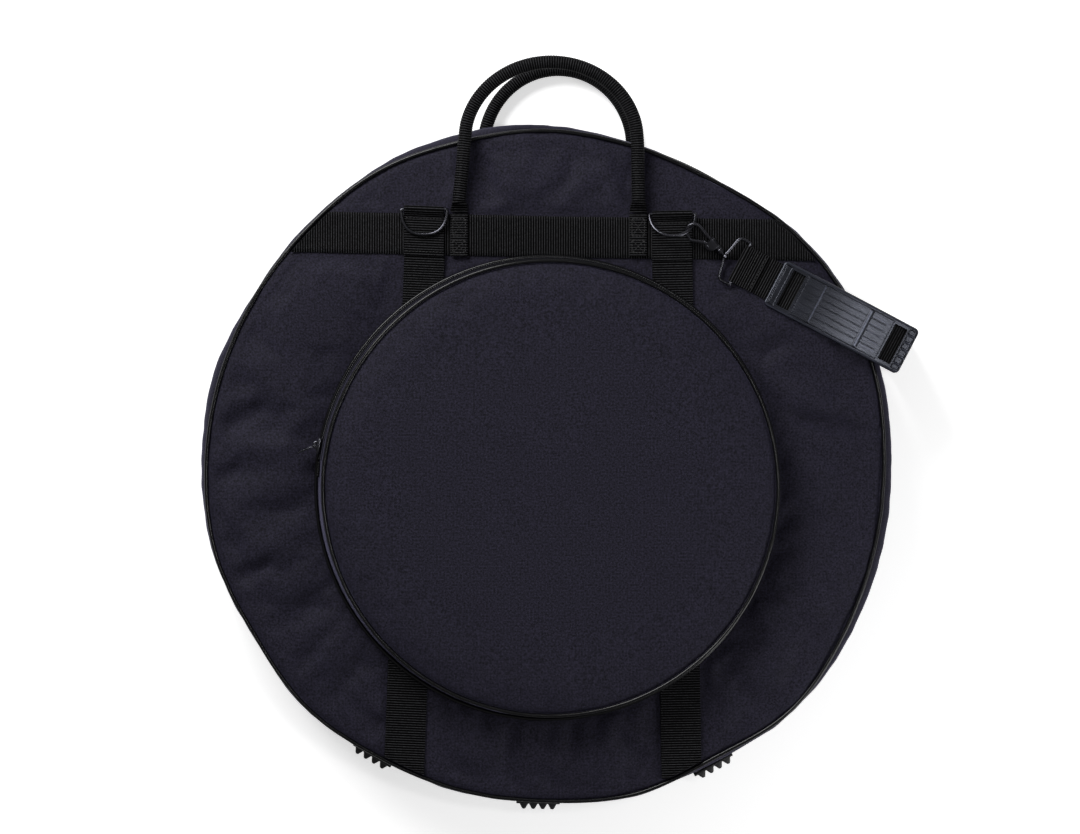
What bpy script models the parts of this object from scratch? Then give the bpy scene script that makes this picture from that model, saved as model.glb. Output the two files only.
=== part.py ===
"""Round padded cymbal bag, lying on its back.

Metres, +Z out of the front of the bag, +Y towards the carrying handles.
The origin is the centre of the flat that the back panel rests on.
"""
from math import atan2, cos, degrees, hypot, pi, radians, sin, sqrt

import bmesh
import bpy
from mathutils import Matrix, Vector

# Running gap between sewn neighbours, and the overrun of every cutter.
GAP = 0.0003
OVERRUN = 0.002

# Bag outline, seen from the front: radius at every 15 degrees from +X.
BODY_RADIUS = 0.319
BODY_OUTLINE_shares = (
    1.004, 1.013, 1.020, 0.993, 0.964, 0.969, 0.988, 0.997,
    0.995, 0.988, 0.990, 1.007, 1.007, 1.007, 0.991, 1.000,
    0.990, 0.988, 0.988, 1.000, 1.003, 1.017, 1.015, 1.009,
)
# How far the front seam lies inside the outline, as shares of FRONT_TUCK.
FRONT_TUCK = 0.0107
FRONT_TUCK_shares = (
    1.00, 0.92, 0.75, 0.50, 0.40, 0.45, 0.65, 0.80,
    0.95, 1.00, 1.00, 1.00, 1.00, 1.00, 1.00, 0.95,
    0.90, 0.90, 0.90, 0.95, 1.00, 1.00, 1.00, 1.00,
)
REAR_TUCK = 0.009

# Padded panels and walls.
REST_INSET = 0.179
RISE_INSET = 0.034
REST_RADIUS = BODY_RADIUS - REST_INSET
RISE_RADIUS = BODY_RADIUS - RISE_INSET
RISE_STATION_shares = (0.35, 0.7, 1.0)
BACK_RISE = 0.018
PANEL_THICKNESS = 0.007
PANEL_RIM_THICKNESS = 0.005
WALL_THICKNESS = 0.006
BACK_EDGE_TOP = BACK_RISE + PANEL_RIM_THICKNESS
FRONT_FLAT_INSET = 0.077
FRONT_SLOPE_WIDTH = 0.055
FRONT_FLAT_RADIUS = BODY_RADIUS - FRONT_FLAT_INSET
FRONT_DROP = 0.004
FRONT_TOP = 0.088
FRONT_EDGE_TOP = FRONT_TOP - FRONT_DROP
FRONT_EDGE_BOTTOM = FRONT_EDGE_TOP - PANEL_RIM_THICKNESS
BULGE_HEIGHT = 0.036
PIPING_RADIUS = 0.002
PIPING_OUT = PIPING_RADIUS + 0.0004
DIVIDER_CLEARANCE = 0.005
DIVIDER_RADIUS = RISE_RADIUS - DIVIDER_CLEARANCE
DIVIDER_THICKNESS = 0.004

# Main zip: it follows a true circle, so its sliders turn about one axis.
ZIP_CENTRE_X = -0.002
ZIP_CENTRE_Y = -0.005
ZIP_INSET = 0.007
ZIP_RADIUS = BODY_RADIUS - ZIP_INSET
SEAM_HEIGHT = 0.058
SEAM_TUCK = 0.0015
ZIP_LANDING = 0.0095
ZIP_START_DEG = -25.0
ZIP_END_DEG = 205.0
ZIP_BLEND_DEG = 12.0
TAPE_WIDTH = 0.0070
TAPE_THICKNESS = 0.0010
TAPE_SEAT = 0.0008
SEWN_EASE = 0.0004
COIL_WIDTH = 0.0024
COIL_THICKNESS = 0.0023

# Zip sliders and pulls.
SLIDER_LENGTH = 0.016
SLIDER_WIDTH = 0.012
SLIDER_PLATE = 0.0024
BRIDGE_LENGTH = 0.006
BRIDGE_WIDTH = 0.005
BRIDGE_HEIGHT = 0.0036
BRIDGE_WALL = 0.0013
PULL_THICKNESS = 0.0014
PULL_WIDTH = 0.009
PULL_LENGTH = 0.028
PULL_WINDOW_WIDTH = 0.0062
PULL_WINDOW_LENGTH = 0.0038
MAIN_SLIDER_HIGH_DEG = 34.0
MAIN_SLIDER_LOW_DEG = 29.5
POCKET_SLIDER_DEG = 169.5
POCKET_PULL_LENGTH = 0.018
POCKET_PULL_REST_DEG = 55.0

# Pocket on the front, a true circle.
POCKET_X = 0.0032
POCKET_Y = -0.021
POCKET_BASE_RADIUS = 0.2145
POCKET_WALL_RADIUS = 0.211
POCKET_FRONT_RADIUS = 0.2065
POCKET_BASE = 0.0903
POCKET_SEAM = 0.104
POCKET_RIM_BOTTOM = 0.1170
POCKET_RIM_TOP = 0.1215
POCKET_CROWN = 0.0035
POCKET_WALL_THICKNESS = 0.003
POCKET_BASE_FLARE = 0.0065
POCKET_SHOULDER = 0.0050
POCKET_FOLD_DEG = 7.0
POCKET_PANEL_FLAT_share = 0.80
WELT_RADIUS = 0.0018
END_TAB_LENGTH = 0.013
END_TAB_WIDTH = 0.016
END_TAB_THICKNESS = 0.0015
END_TAB_DEG = 175.3

# Webbing sewn to the bag.
WEBBING_WIDTH = 0.038
WEBBING_THICKNESS = 0.0016
BAND_LEFT_X = -0.224
BAND_RIGHT_X = 0.231
BAND_STATIONS = 20
BAND_LEFT_Y = 0.2165
BAND_MIDDLE_Y = 0.2115
BAND_RIGHT_Y = 0.2085
STRAP_TOP_LEFT_X = -0.1138
STRAP_TOP_RIGHT_X = 0.116
STRAP_FOOT_LEFT_X = -0.1316
STRAP_FOOT_RIGHT_X = 0.1242
STRAP_FOOT_Y = -0.256
RING_BAR_LEFT_Y = 0.2365
RING_BAR_RIGHT_Y = 0.232
RING_BAR_Z = 0.095
LOOP_RETURN_END_Y = 0.1975
LOOP_RETURN_Z = 0.09295
LOOP_UNDER_Z = 0.091
STRAP_STEP_Y = 0.190
STRAP_STEP_RUN = 0.012
LOOP_RUN = 0.0080

# D-rings.
RING_WIRE_RADIUS = 0.0016
RING_INSIDE_CLEARANCE = 0.0012
RING_DEPTH = 0.023
RING_LEFT_TILT_DEG = 3.0
RING_RIGHT_TILT_DEG = 28.0
RING_HOOKED_AT_DEG = 40.0
RING_SQUARENESS_share = 0.6
RING_FULLNESS_share = 0.8

# Carrying handles: a webbing tube on sewn flat tabs.
HANDLE_RADIUS = 0.00625
HANDLE_TAB_WIDTH = 0.016
HANDLE_TAB_THICKNESS = 0.0026
HANDLE_TAB_END_Y = 0.193
HANDLE_TIP_THICKNESS = 0.0004
HANDLE_TIP_LENGTH = 0.0015
HANDLE_PIVOT_Y = 0.2335
HANDLE_ROOT_THICKNESS = 0.002
HANDLE_ROUND_Y = 0.247
FRONT_HANDLE_LEFT_X = -0.0813
FRONT_HANDLE_RIGHT_X = 0.0845
FRONT_HANDLE_ARCH_LEFT_X = -0.0763
FRONT_HANDLE_ARCH_RIGHT_X = 0.0837
FRONT_HANDLE_ARCH_Y = 0.300
FRONT_HANDLE_ARCH_HEIGHT = 0.073
FRONT_HANDLE_Z = 0.0953
REAR_HANDLE_LEFT_X = -0.056
REAR_HANDLE_RIGHT_X = 0.080
REAR_HANDLE_ARCH_HEIGHT = 0.069
REAR_HANDLE_Z = 0.0088
REAR_BAND_Z = 0.0041
REAR_BAND_HALF_LENGTH = 0.098

# Feet on the lower wall of the bag.
FOOT_ANGLES_DEG = (239.0, 268.5, 299.0)
FOOT_LENGTH = 0.041
FOOT_WIDTH = 0.024
FOOT_BASE = 0.0025
STUD_HEIGHT = 0.0045
STUD_MARGIN = 0.0016
FOOT_Z = 0.0375
STUD_COLUMNS = 4
STUD_ROWS = 2

# Shoulder strap: s runs along the strap from the bar of its wire loop.
STRAP_BAR_X = 0.1789
STRAP_BAR_Y = 0.186
STRAP_HEADING_DEG = -27.77
STRAP_BAR_Z = 0.0955
STRAP_LOOP_RADIUS = 0.0025
STRAP_LAP_S = 0.020
PAD_START_S = 0.0354
PAD_END_S = 0.1758
PAD_WIDTH = 0.046
PAD_THICKNESS = 0.0066
PAD_BASE_Z = 0.0906
PAD_RISE = 0.0040
PAD_FLOOR = 0.0014
PAD_CHANNEL_HEIGHT = 0.0026
PAD_CHANNEL_CLEARANCE = 0.0008
PAD_WINDOW_START_S = (0.0465, 0.1525)
PAD_WINDOW_LENGTH = 0.013
PAD_WINDOW_WIDTH = 0.036
PAD_MOUTH_S = 0.160
STRAP_SPLIT_S = 0.150
DROP_RUN_shares = (0.51, 0.85)
DROP_HEIGHT_shares = (0.63, 0.30, 0.10)
DROP_DIP = 0.0005
DROP_BEND = 0.0032
DROP_S = 0.1735
TAIL_Z = (0.0030, 0.0049, 0.0068)
TAIL_SPLIT_S = 0.150
TAIL_NEAR_S = 0.010
TAIL_FAR_S = 0.128
TAIL_BAR_S = -0.022
ADJUSTER_S = 0.045
ADJUSTER_LENGTH = 0.022
ADJUSTER_WALL = 0.0016
ADJUSTER_SIDE = 0.004

# Swivel snap hooks: p runs from the eye to the swivel, q from the shank to the gate.
HOOK_EYE_RADIUS = 0.0072
HOOK_WIRE_RADIUS = 0.0016
HOOK_NOSE_P = 0.0015
HOOK_SWIVEL_P = 0.0360
HOOK_ROLL_DEG = 22.0
BLOCK_START_P = 0.0150
BLOCK_END_P = 0.0250
BLOCK_LOW_Q = -0.0026
BLOCK_HIGH_Q = 0.0086
BLOCK_HALF_THICKNESS = 0.0034
SLOT_END_P = 0.0212
SLOT_HALF_THICKNESS = 0.0019
GATE_HALF_THICKNESS = 0.0015
GATE_PIVOT_P = 0.0185
GATE_PIVOT_Q = 0.0054
GATE_OUTLINE = (
    (0.0022, 0.0124), (0.0036, 0.0149), (0.0064, 0.0154), (0.0068, 0.0188), (0.0086, 0.0192), (0.0098, 0.0140),
    (0.0150, 0.0104), (0.0202, 0.0086), (0.0202, 0.0038), (0.0192, 0.0026), (0.0165, 0.0036), (0.0100, 0.0088),
)
RIVET_RADIUS = 0.0013
RIVET_CLEARANCE = 0.0002
RIVET_HEAD = 0.0004
BARREL_RADIUS = 0.0030
BARREL_START_P = 0.0240
BARREL_END_P = 0.0324
STEM_RADIUS = 0.0013
STEM_START_P = 0.0268
BORE_RADIUS = 0.0016
BORE_START_P = 0.0262
SWIVEL_BALL_RADIUS = 0.0030
LOOP_WIRE_RADIUS = 0.0014
LOOP_HALF_WIDTH = 0.0212
LOOP_DEPTH = 0.0165
LOOP_SHOULDER_share = 0.32
LOOP_NECK_share = 0.88
LOOP_WAIST_share = 0.30

# Mesh densities.
BODY_STATIONS = 64
POCKET_STATIONS = 48
WIRE_RESOLUTION = 2
PIPING_RESOLUTION = 1

TRAY_PIVOT = Vector((0.0, 0.0, 0.0))
Z_AXIS = Vector((0.0, 0.0, 1.0))


def smooth_step(share):
    """Ease from 0 to 1 with flat ends."""
    share = min(1.0, max(0.0, share))
    return share * share * (3.0 - 2.0 * share)


def mix(low, high, share):
    """Value at a share of the way from low to high."""
    return low + (high - low) * share


def share_at(shares, angle):
    """Read a closed table of shares on a smooth curve through its values."""
    place = (angle % (2.0 * pi)) / (2.0 * pi) * len(shares)
    index = int(place)
    t = place - index
    before, start, end, after = (shares[(index + k) % len(shares)] for k in (-1, 0, 1, 2))
    return 0.5 * (
        2.0 * start
        + (end - before) * t
        + (2.0 * before - 5.0 * start + 4.0 * end - after) * t * t
        + (3.0 * start - before - 3.0 * end + after) * t * t * t
    )


def outline_radius(angle):
    """Widest radius of the bag at an angle."""
    return BODY_RADIUS * share_at(BODY_OUTLINE_shares, angle)


def front_seam_radius(angle):
    """Radius of the front panel's sewn edge."""
    return outline_radius(angle) - FRONT_TUCK * share_at(FRONT_TUCK_shares, angle) - 2.0 * PIPING_RADIUS


def rear_seam_radius(angle):
    """Radius of the back panel's sewn edge."""
    return outline_radius(angle) - REAR_TUCK


def zip_radius(angle):
    """Distance from the bag's centre to the zip circle, at an angle of the bag."""
    along = ZIP_CENTRE_X * cos(angle) + ZIP_CENTRE_Y * sin(angle)
    across = ZIP_CENTRE_X * sin(angle) - ZIP_CENTRE_Y * cos(angle)
    return along + sqrt(ZIP_RADIUS * ZIP_RADIUS - across * across)


def seam_radius(angle):
    """Radius of the opening seam: the zip circle, then the outline below the zip."""
    turned = (degrees(angle) - ZIP_START_DEG) % 360.0
    span = ZIP_END_DEG - ZIP_START_DEG
    beyond = 0.0 if turned <= span else min(turned - span, 360.0 - turned)
    plain = outline_radius(angle) - SEAM_TUCK
    return mix(min(zip_radius(angle), plain + SEAM_TUCK), plain, smooth_step(beyond / ZIP_BLEND_DEG))


def rest_height(radius):
    """Underside of the back panel: flat in the middle, rising to its edge."""
    return BACK_RISE * smooth_step((radius - REST_RADIUS) / (RISE_RADIUS - REST_RADIUS))


def front_height(x, y):
    """Outer face of the front panel."""
    fall = (hypot(x, y) - FRONT_FLAT_RADIUS) / FRONT_SLOPE_WIDTH
    return FRONT_TOP - FRONT_DROP * min(1.0, max(0.0, fall))


def clear_scene():
    """Empty the scene and make the two collections."""
    for thing in list(bpy.data.objects):
        bpy.data.objects.remove(thing, do_unlink=True)
    parts = bpy.data.collections.new("cymbal_bag")
    cutters = bpy.data.collections.new("cutters")
    for collection in (parts, cutters):
        bpy.context.scene.collection.children.link(collection)
    return parts, cutters


PARTS, CUTTERS = clear_scene()
EMPTIES = {}


def body(name, pivot, parent=None):
    """Add an empty on a moving group's axis."""
    empty = bpy.data.objects.new("axis_" + name, None)
    PARTS.objects.link(empty)
    base = EMPTIES[parent].matrix_world.translation if parent else Vector()
    empty.parent = EMPTIES[parent] if parent else None
    empty.location = Vector(pivot) - base
    empty.matrix_world = Matrix.Translation(Vector(pivot))
    EMPTIES[name] = empty
    return Vector(pivot)


def material(name, colour, roughness, metallic=0.0):
    """Plain finish for one piece."""
    made = bpy.data.materials.new(name)
    made.use_nodes = True
    shader = made.node_tree.nodes["Principled BSDF"]
    shader.inputs["Base Color"].default_value = (*colour, 1.0)
    shader.inputs["Roughness"].default_value = roughness
    shader.inputs["Metallic"].default_value = metallic
    return made


FABRIC = ((0.015, 0.014, 0.022), 0.85, 0.0)
WEBBING = ((0.009, 0.009, 0.010), 0.80, 0.0)
PIPING = ((0.012, 0.012, 0.013), 0.55, 0.0)
ZIP = ((0.010, 0.010, 0.011), 0.60, 0.0)
METAL = ((0.060, 0.060, 0.066), 0.28, 1.0)
RUBBER = ((0.012, 0.012, 0.013), 0.70, 0.0)
MOULDED = ((0.030, 0.036, 0.050), 0.30, 0.0)
LINING = ((0.020, 0.020, 0.022), 0.90, 0.0)


def finish(name, group, mesh, look):
    """Hang a mesh, made in world places, on its group's empty."""
    pivot = EMPTIES[group].matrix_world.translation
    mesh.transform(Matrix.Translation(-pivot))
    mesh.materials.append(material(name, *look))
    thing = bpy.data.objects.new(name, mesh)
    PARTS.objects.link(thing)
    thing.parent = EMPTIES[group]
    return thing


def closed_mesh(name, made):
    """Turn a bmesh into a mesh with its faces pointing out."""
    bmesh.ops.recalc_face_normals(made, faces=made.faces)
    mesh = bpy.data.meshes.new(name)
    made.to_mesh(mesh)
    made.free()
    mesh.shade_smooth()
    mesh.set_sharp_from_angle(angle=radians(40.0))
    return mesh


def loft(name, rings, cyclic):
    """Skin a run of closed sections; open runs are capped."""
    made = bmesh.new()
    loops = [[made.verts.new(point) for point in ring] for ring in rings]
    count = len(loops)
    for index in range(count if cyclic else count - 1):
        here, there = loops[index], loops[(index + 1) % count]
        for k in range(len(here)):
            after = (k + 1) % len(here)
            made.faces.new((here[k], here[after], there[after], there[k]))
    if not cyclic:
        made.faces.new(loops[0])
        made.faces.new(loops[-1])
    return closed_mesh(name, made)


def ring(name, group, section, look, stations, start=None, end=None, centre=(0.0, 0.0)):
    """Turn a section, which may change with the angle, round a centre."""
    whole = start is None
    low, span = (0.0, 2.0 * pi) if whole else (start, end - start)
    steps = stations if whole else max(3, round(stations * span / (2.0 * pi)))
    rings = []
    for index in range(steps if whole else steps + 1):
        angle = low + span * index / steps
        rings.append([
            (centre[0] + radius * cos(angle), centre[1] + radius * sin(angle), height)
            for radius, height in section(angle)
        ])
    return finish(name, group, loft(name, rings, whole), look)


def disc(name, group, section, look, stations, centre=(0.0, 0.0)):
    """Turn a section that starts and ends on the axis."""
    made = bmesh.new()
    profile = section(0.0)
    low = made.verts.new((centre[0], centre[1], profile[0][1]))
    high = made.verts.new((centre[0], centre[1], profile[-1][1]))
    runs = []
    for index in range(stations):
        angle = 2.0 * pi * index / stations
        runs.append([
            made.verts.new((centre[0] + radius * cos(angle), centre[1] + radius * sin(angle), height))
            for radius, height in section(angle)[1:-1]
        ])
    for index in range(stations):
        here, there = runs[index], runs[(index + 1) % stations]
        made.faces.new((low, here[0], there[0]))
        made.faces.new((high, there[-1], here[-1]))
        for k in range(len(here) - 1):
            made.faces.new((here[k], here[k + 1], there[k + 1], there[k]))
    return finish(name, group, closed_mesh(name, made), look)


def ribbon(name, group, points, side, look, width=WEBBING_WIDTH, thickness=WEBBING_THICKNESS):
    """Sweep a flat section along a path whose width stays level."""
    rings = []
    side = Vector(side).normalized()
    for index, point in enumerate(points):
        before = points[max(0, index - 1)]
        after = points[min(len(points) - 1, index + 1)]
        normal = side.cross((after - before).normalized()).normalized()
        across, through = side * width / 2.0, normal * thickness / 2.0
        rings.append([
            point - across - through, point + across - through,
            point + across + through, point - across + through,
        ])
    return finish(name, group, loft(name, rings, False), look)


def tube_mesh(name, points, radius, cyclic, resolution):
    """Mesh of a round wire along a path."""
    curve = bpy.data.curves.new(name, "CURVE")
    curve.dimensions = "3D"
    curve.bevel_depth = radius
    curve.bevel_resolution = resolution
    curve.use_fill_caps = not cyclic
    spline = curve.splines.new("POLY")
    spline.points.add(len(points) - 1)
    for slot, point in zip(spline.points, points):
        slot.co = (*point, 1.0)
    spline.use_cyclic_u = cyclic
    holder = bpy.data.objects.new(name, curve)
    bpy.context.scene.collection.objects.link(holder)
    mesh = bpy.data.meshes.new_from_object(holder.evaluated_get(bpy.context.evaluated_depsgraph_get()))
    bpy.data.objects.remove(holder, do_unlink=True)
    made = bmesh.new()
    made.from_mesh(mesh)
    bmesh.ops.remove_doubles(made, verts=made.verts, dist=radius / 100.0)
    bpy.data.meshes.remove(mesh)
    return closed_mesh(name, made)


def wire(name, group, points, radius, look, cyclic=True, resolution=WIRE_RESOLUTION):
    """Add a round wire."""
    return finish(name, group, tube_mesh(name, points, radius, cyclic, resolution), look)


def prism(name, group, outline, frame, half_depth, look):
    """Extrude a flat outline both ways along its frame's third axis."""
    rings = [[frame @ Vector((*point, depth)) for point in outline] for depth in (-half_depth, half_depth)]
    return finish(name, group, loft(name, rings, False), look)


def box_outline(low_u, high_u, low_v, high_v):
    """Corners of a rectangle."""
    return ((low_u, low_v), (high_u, low_v), (high_u, high_v), (low_u, high_v))


def round_outline(radius, centre=(0.0, 0.0), sides=12):
    """Corners of a round bar's end."""
    return tuple(
        (centre[0] + radius * cos(2.0 * pi * k / sides), centre[1] + radius * sin(2.0 * pi * k / sides))
        for k in range(sides)
    )


def frame_of(origin, u, v):
    """Matrix of a flat outline's frame."""
    u, v = Vector(u).normalized(), Vector(v).normalized()
    matrix = Matrix((u, v, u.cross(v))).transposed().to_4x4()
    matrix.translation = Vector(origin)
    return matrix


def as_cutter(thing):
    """Move a solid to the cutters and hide it."""
    PARTS.objects.unlink(thing)
    CUTTERS.objects.link(thing)
    thing.hide_render = True
    thing.display_type = "WIRE"
    return thing


def combine(target, tool, operation):
    """Cut or join two solids exactly."""
    modifier = target.modifiers.new(operation.lower(), "BOOLEAN")
    modifier.operation = operation
    modifier.solver = "EXACT"
    modifier.object = as_cutter(tool)


def back_panel():
    """Padded back: its flat middle is what the bag lies on."""
    def section(angle):
        edge = rear_seam_radius(angle)
        low = [(0.0, 0.0), (REST_RADIUS, 0.0)]
        middles = [mix(REST_RADIUS, RISE_RADIUS, share) for share in RISE_STATION_shares]
        low += [(radius, rest_height(radius)) for radius in middles]
        rim = [(edge, BACK_RISE), (edge, BACK_EDGE_TOP), (RISE_RADIUS, BACK_EDGE_TOP)]
        high = [(radius, rest_height(radius) + PANEL_THICKNESS) for radius in reversed(middles[:-1])]
        return low + rim + high + [(REST_RADIUS, PANEL_THICKNESS), (0.0, PANEL_THICKNESS)]
    disc("back_panel", "tray", section, FABRIC, BODY_STATIONS)


def front_panel():
    """Padded front of the lid."""
    def section(angle):
        edge = front_seam_radius(angle)
        low = [(0.0, FRONT_TOP - PANEL_THICKNESS), (FRONT_FLAT_RADIUS, FRONT_TOP - PANEL_THICKNESS)]
        low += [(RISE_RADIUS, FRONT_EDGE_BOTTOM), (edge, FRONT_EDGE_BOTTOM), (edge, FRONT_EDGE_TOP)]
        middles = (FRONT_FLAT_RADIUS + FRONT_SLOPE_WIDTH, FRONT_FLAT_RADIUS)
        return low + [(radius, front_height(radius, 0.0)) for radius in middles] + [(0.0, FRONT_TOP)]
    disc("front_panel", "lid", section, FABRIC, BODY_STATIONS)


def walls():
    """Soft wall of the bag, cut in two by the opening seam."""
    def rear(angle):
        sewn, widest, seam = rear_seam_radius(angle), outline_radius(angle), seam_radius(angle)
        landing = SEAM_HEIGHT - ZIP_LANDING
        outer = [
            (sewn, BACK_EDGE_TOP + GAP), (mix(sewn, widest, 0.72), mix(BACK_EDGE_TOP, BULGE_HEIGHT, 0.45)),
            (widest, BULGE_HEIGHT), (mix(seam, widest, 0.62), mix(BULGE_HEIGHT, landing, 0.62)),
            (seam, landing), (seam, SEAM_HEIGHT - GAP),
        ]
        return outer + [(radius - WALL_THICKNESS, height) for radius, height in reversed(outer)]

    def front(angle):
        sewn, seam = front_seam_radius(angle), seam_radius(angle)
        landing = SEAM_HEIGHT + ZIP_LANDING
        outer = [
            (seam, SEAM_HEIGHT + GAP), (seam, landing),
            (mix(seam, sewn, 0.75), mix(landing, FRONT_EDGE_BOTTOM, 0.5)), (sewn, FRONT_EDGE_BOTTOM - GAP),
        ]
        return outer + [(radius - WALL_THICKNESS, height) for radius, height in reversed(outer)]

    ring("rear_gusset", "tray", rear, FABRIC, BODY_STATIONS)
    ring("front_gusset", "lid", front, FABRIC, BODY_STATIONS)


def piping():
    """Round piping in the two panel seams."""
    for name, group, edge, height in (
        ("rear_piping", "tray", rear_seam_radius, mix(BACK_RISE, BACK_EDGE_TOP, 0.55)),
        ("front_piping", "lid", front_seam_radius, mix(FRONT_EDGE_BOTTOM, FRONT_EDGE_TOP, 0.55)),
    ):
        points = []
        for index in range(BODY_STATIONS):
            angle = 2.0 * pi * index / BODY_STATIONS
            reach = edge(angle) + PIPING_OUT + GAP
            points.append((reach * cos(angle), reach * sin(angle), height))
        wire(name, group, points, PIPING_RADIUS, PIPING, resolution=PIPING_RESOLUTION)


def tape_section(base, seam, upward):
    """Half a zip: its tape, with the coil along the seam."""
    way = 1.0 if upward else -1.0

    def section(angle):
        near, coil, far = (seam + way * length for length in (GAP, COIL_WIDTH, TAPE_WIDTH))
        return [
            (base, near), (base + COIL_THICKNESS, near), (base + COIL_THICKNESS, coil),
            (base + TAPE_THICKNESS, coil), (base + TAPE_THICKNESS, far), (base, far),
        ]
    return section


def main_zip():
    """Two halves of the main zip, round the upper wall."""
    low, high = radians(ZIP_START_DEG), radians(ZIP_END_DEG)
    for name, group, upward in (("rear_zip_tape", "tray", False), ("front_zip_tape", "lid", True)):
        section = tape_section(ZIP_RADIUS + TAPE_SEAT, SEAM_HEIGHT, upward)
        ring(name, group, section, ZIP, BODY_STATIONS, low, high, (ZIP_CENTRE_X, ZIP_CENTRE_Y))


def slider(name, centre, coil_face, height, angle, length, rest_deg, way, carrier):
    """Zip slider with its bridge, and the pull that turns on it."""
    outward = Vector((cos(angle), sin(angle), 0.0))
    along = Vector((-sin(angle), cos(angle), 0.0)) * way
    seat = Vector((*centre, height)) + outward * (coil_face + GAP)
    body(name, Vector((*centre, height)), carrier)
    bar = seat + outward * (SLIDER_PLATE + BRIDGE_HEIGHT / 2.0)
    body(name + "_pull", bar, name)
    frame = frame_of(seat, along, outward)
    plate = prism(name, name, box_outline(-SLIDER_LENGTH / 2.0, SLIDER_LENGTH / 2.0, 0.0, SLIDER_PLATE),
                  frame, SLIDER_WIDTH / 2.0, METAL)
    top = SLIDER_PLATE + BRIDGE_HEIGHT
    bridge = prism(name + "_bridge", name,
                   box_outline(-BRIDGE_LENGTH / 2.0, BRIDGE_LENGTH / 2.0, SLIDER_PLATE / 2.0, top),
                   frame, BRIDGE_WIDTH / 2.0, METAL)
    half_tunnel = BRIDGE_LENGTH / 2.0 - BRIDGE_WALL
    tunnel = prism(name + "_tunnel", name,
                   box_outline(-half_tunnel, half_tunnel, SLIDER_PLATE, top - BRIDGE_WALL / 2.0),
                   frame, BRIDGE_WIDTH / 2.0 + OVERRUN, METAL)
    combine(plate, bridge, "UNION")
    combine(plate, tunnel, "DIFFERENCE")
    turn = Matrix.Rotation(radians(rest_deg) * way, 3, frame.col[2].to_3d() * way)
    reach, lift = turn @ along, turn @ outward
    pull_frame = frame_of(bar, reach, frame.col[2].to_3d())
    inner = PULL_THICKNESS / 2.0
    pull = prism(name + "_pull", name + "_pull",
                 ((-inner, -PULL_WIDTH / 2.0), (length * 0.45, -PULL_WIDTH / 2.0), (length, -PULL_WIDTH * 0.3),
                  (length, PULL_WIDTH * 0.3), (length * 0.45, PULL_WIDTH / 2.0), (-inner, PULL_WIDTH / 2.0)),
                 pull_frame, inner, METAL)
    window = prism(name + "_window", name + "_pull",
                   box_outline(inner, inner + PULL_WINDOW_LENGTH, -PULL_WINDOW_WIDTH / 2.0, PULL_WINDOW_WIDTH / 2.0),
                   pull_frame, inner + OVERRUN, METAL)
    combine(pull, window, "DIFFERENCE")
    return lift


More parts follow.
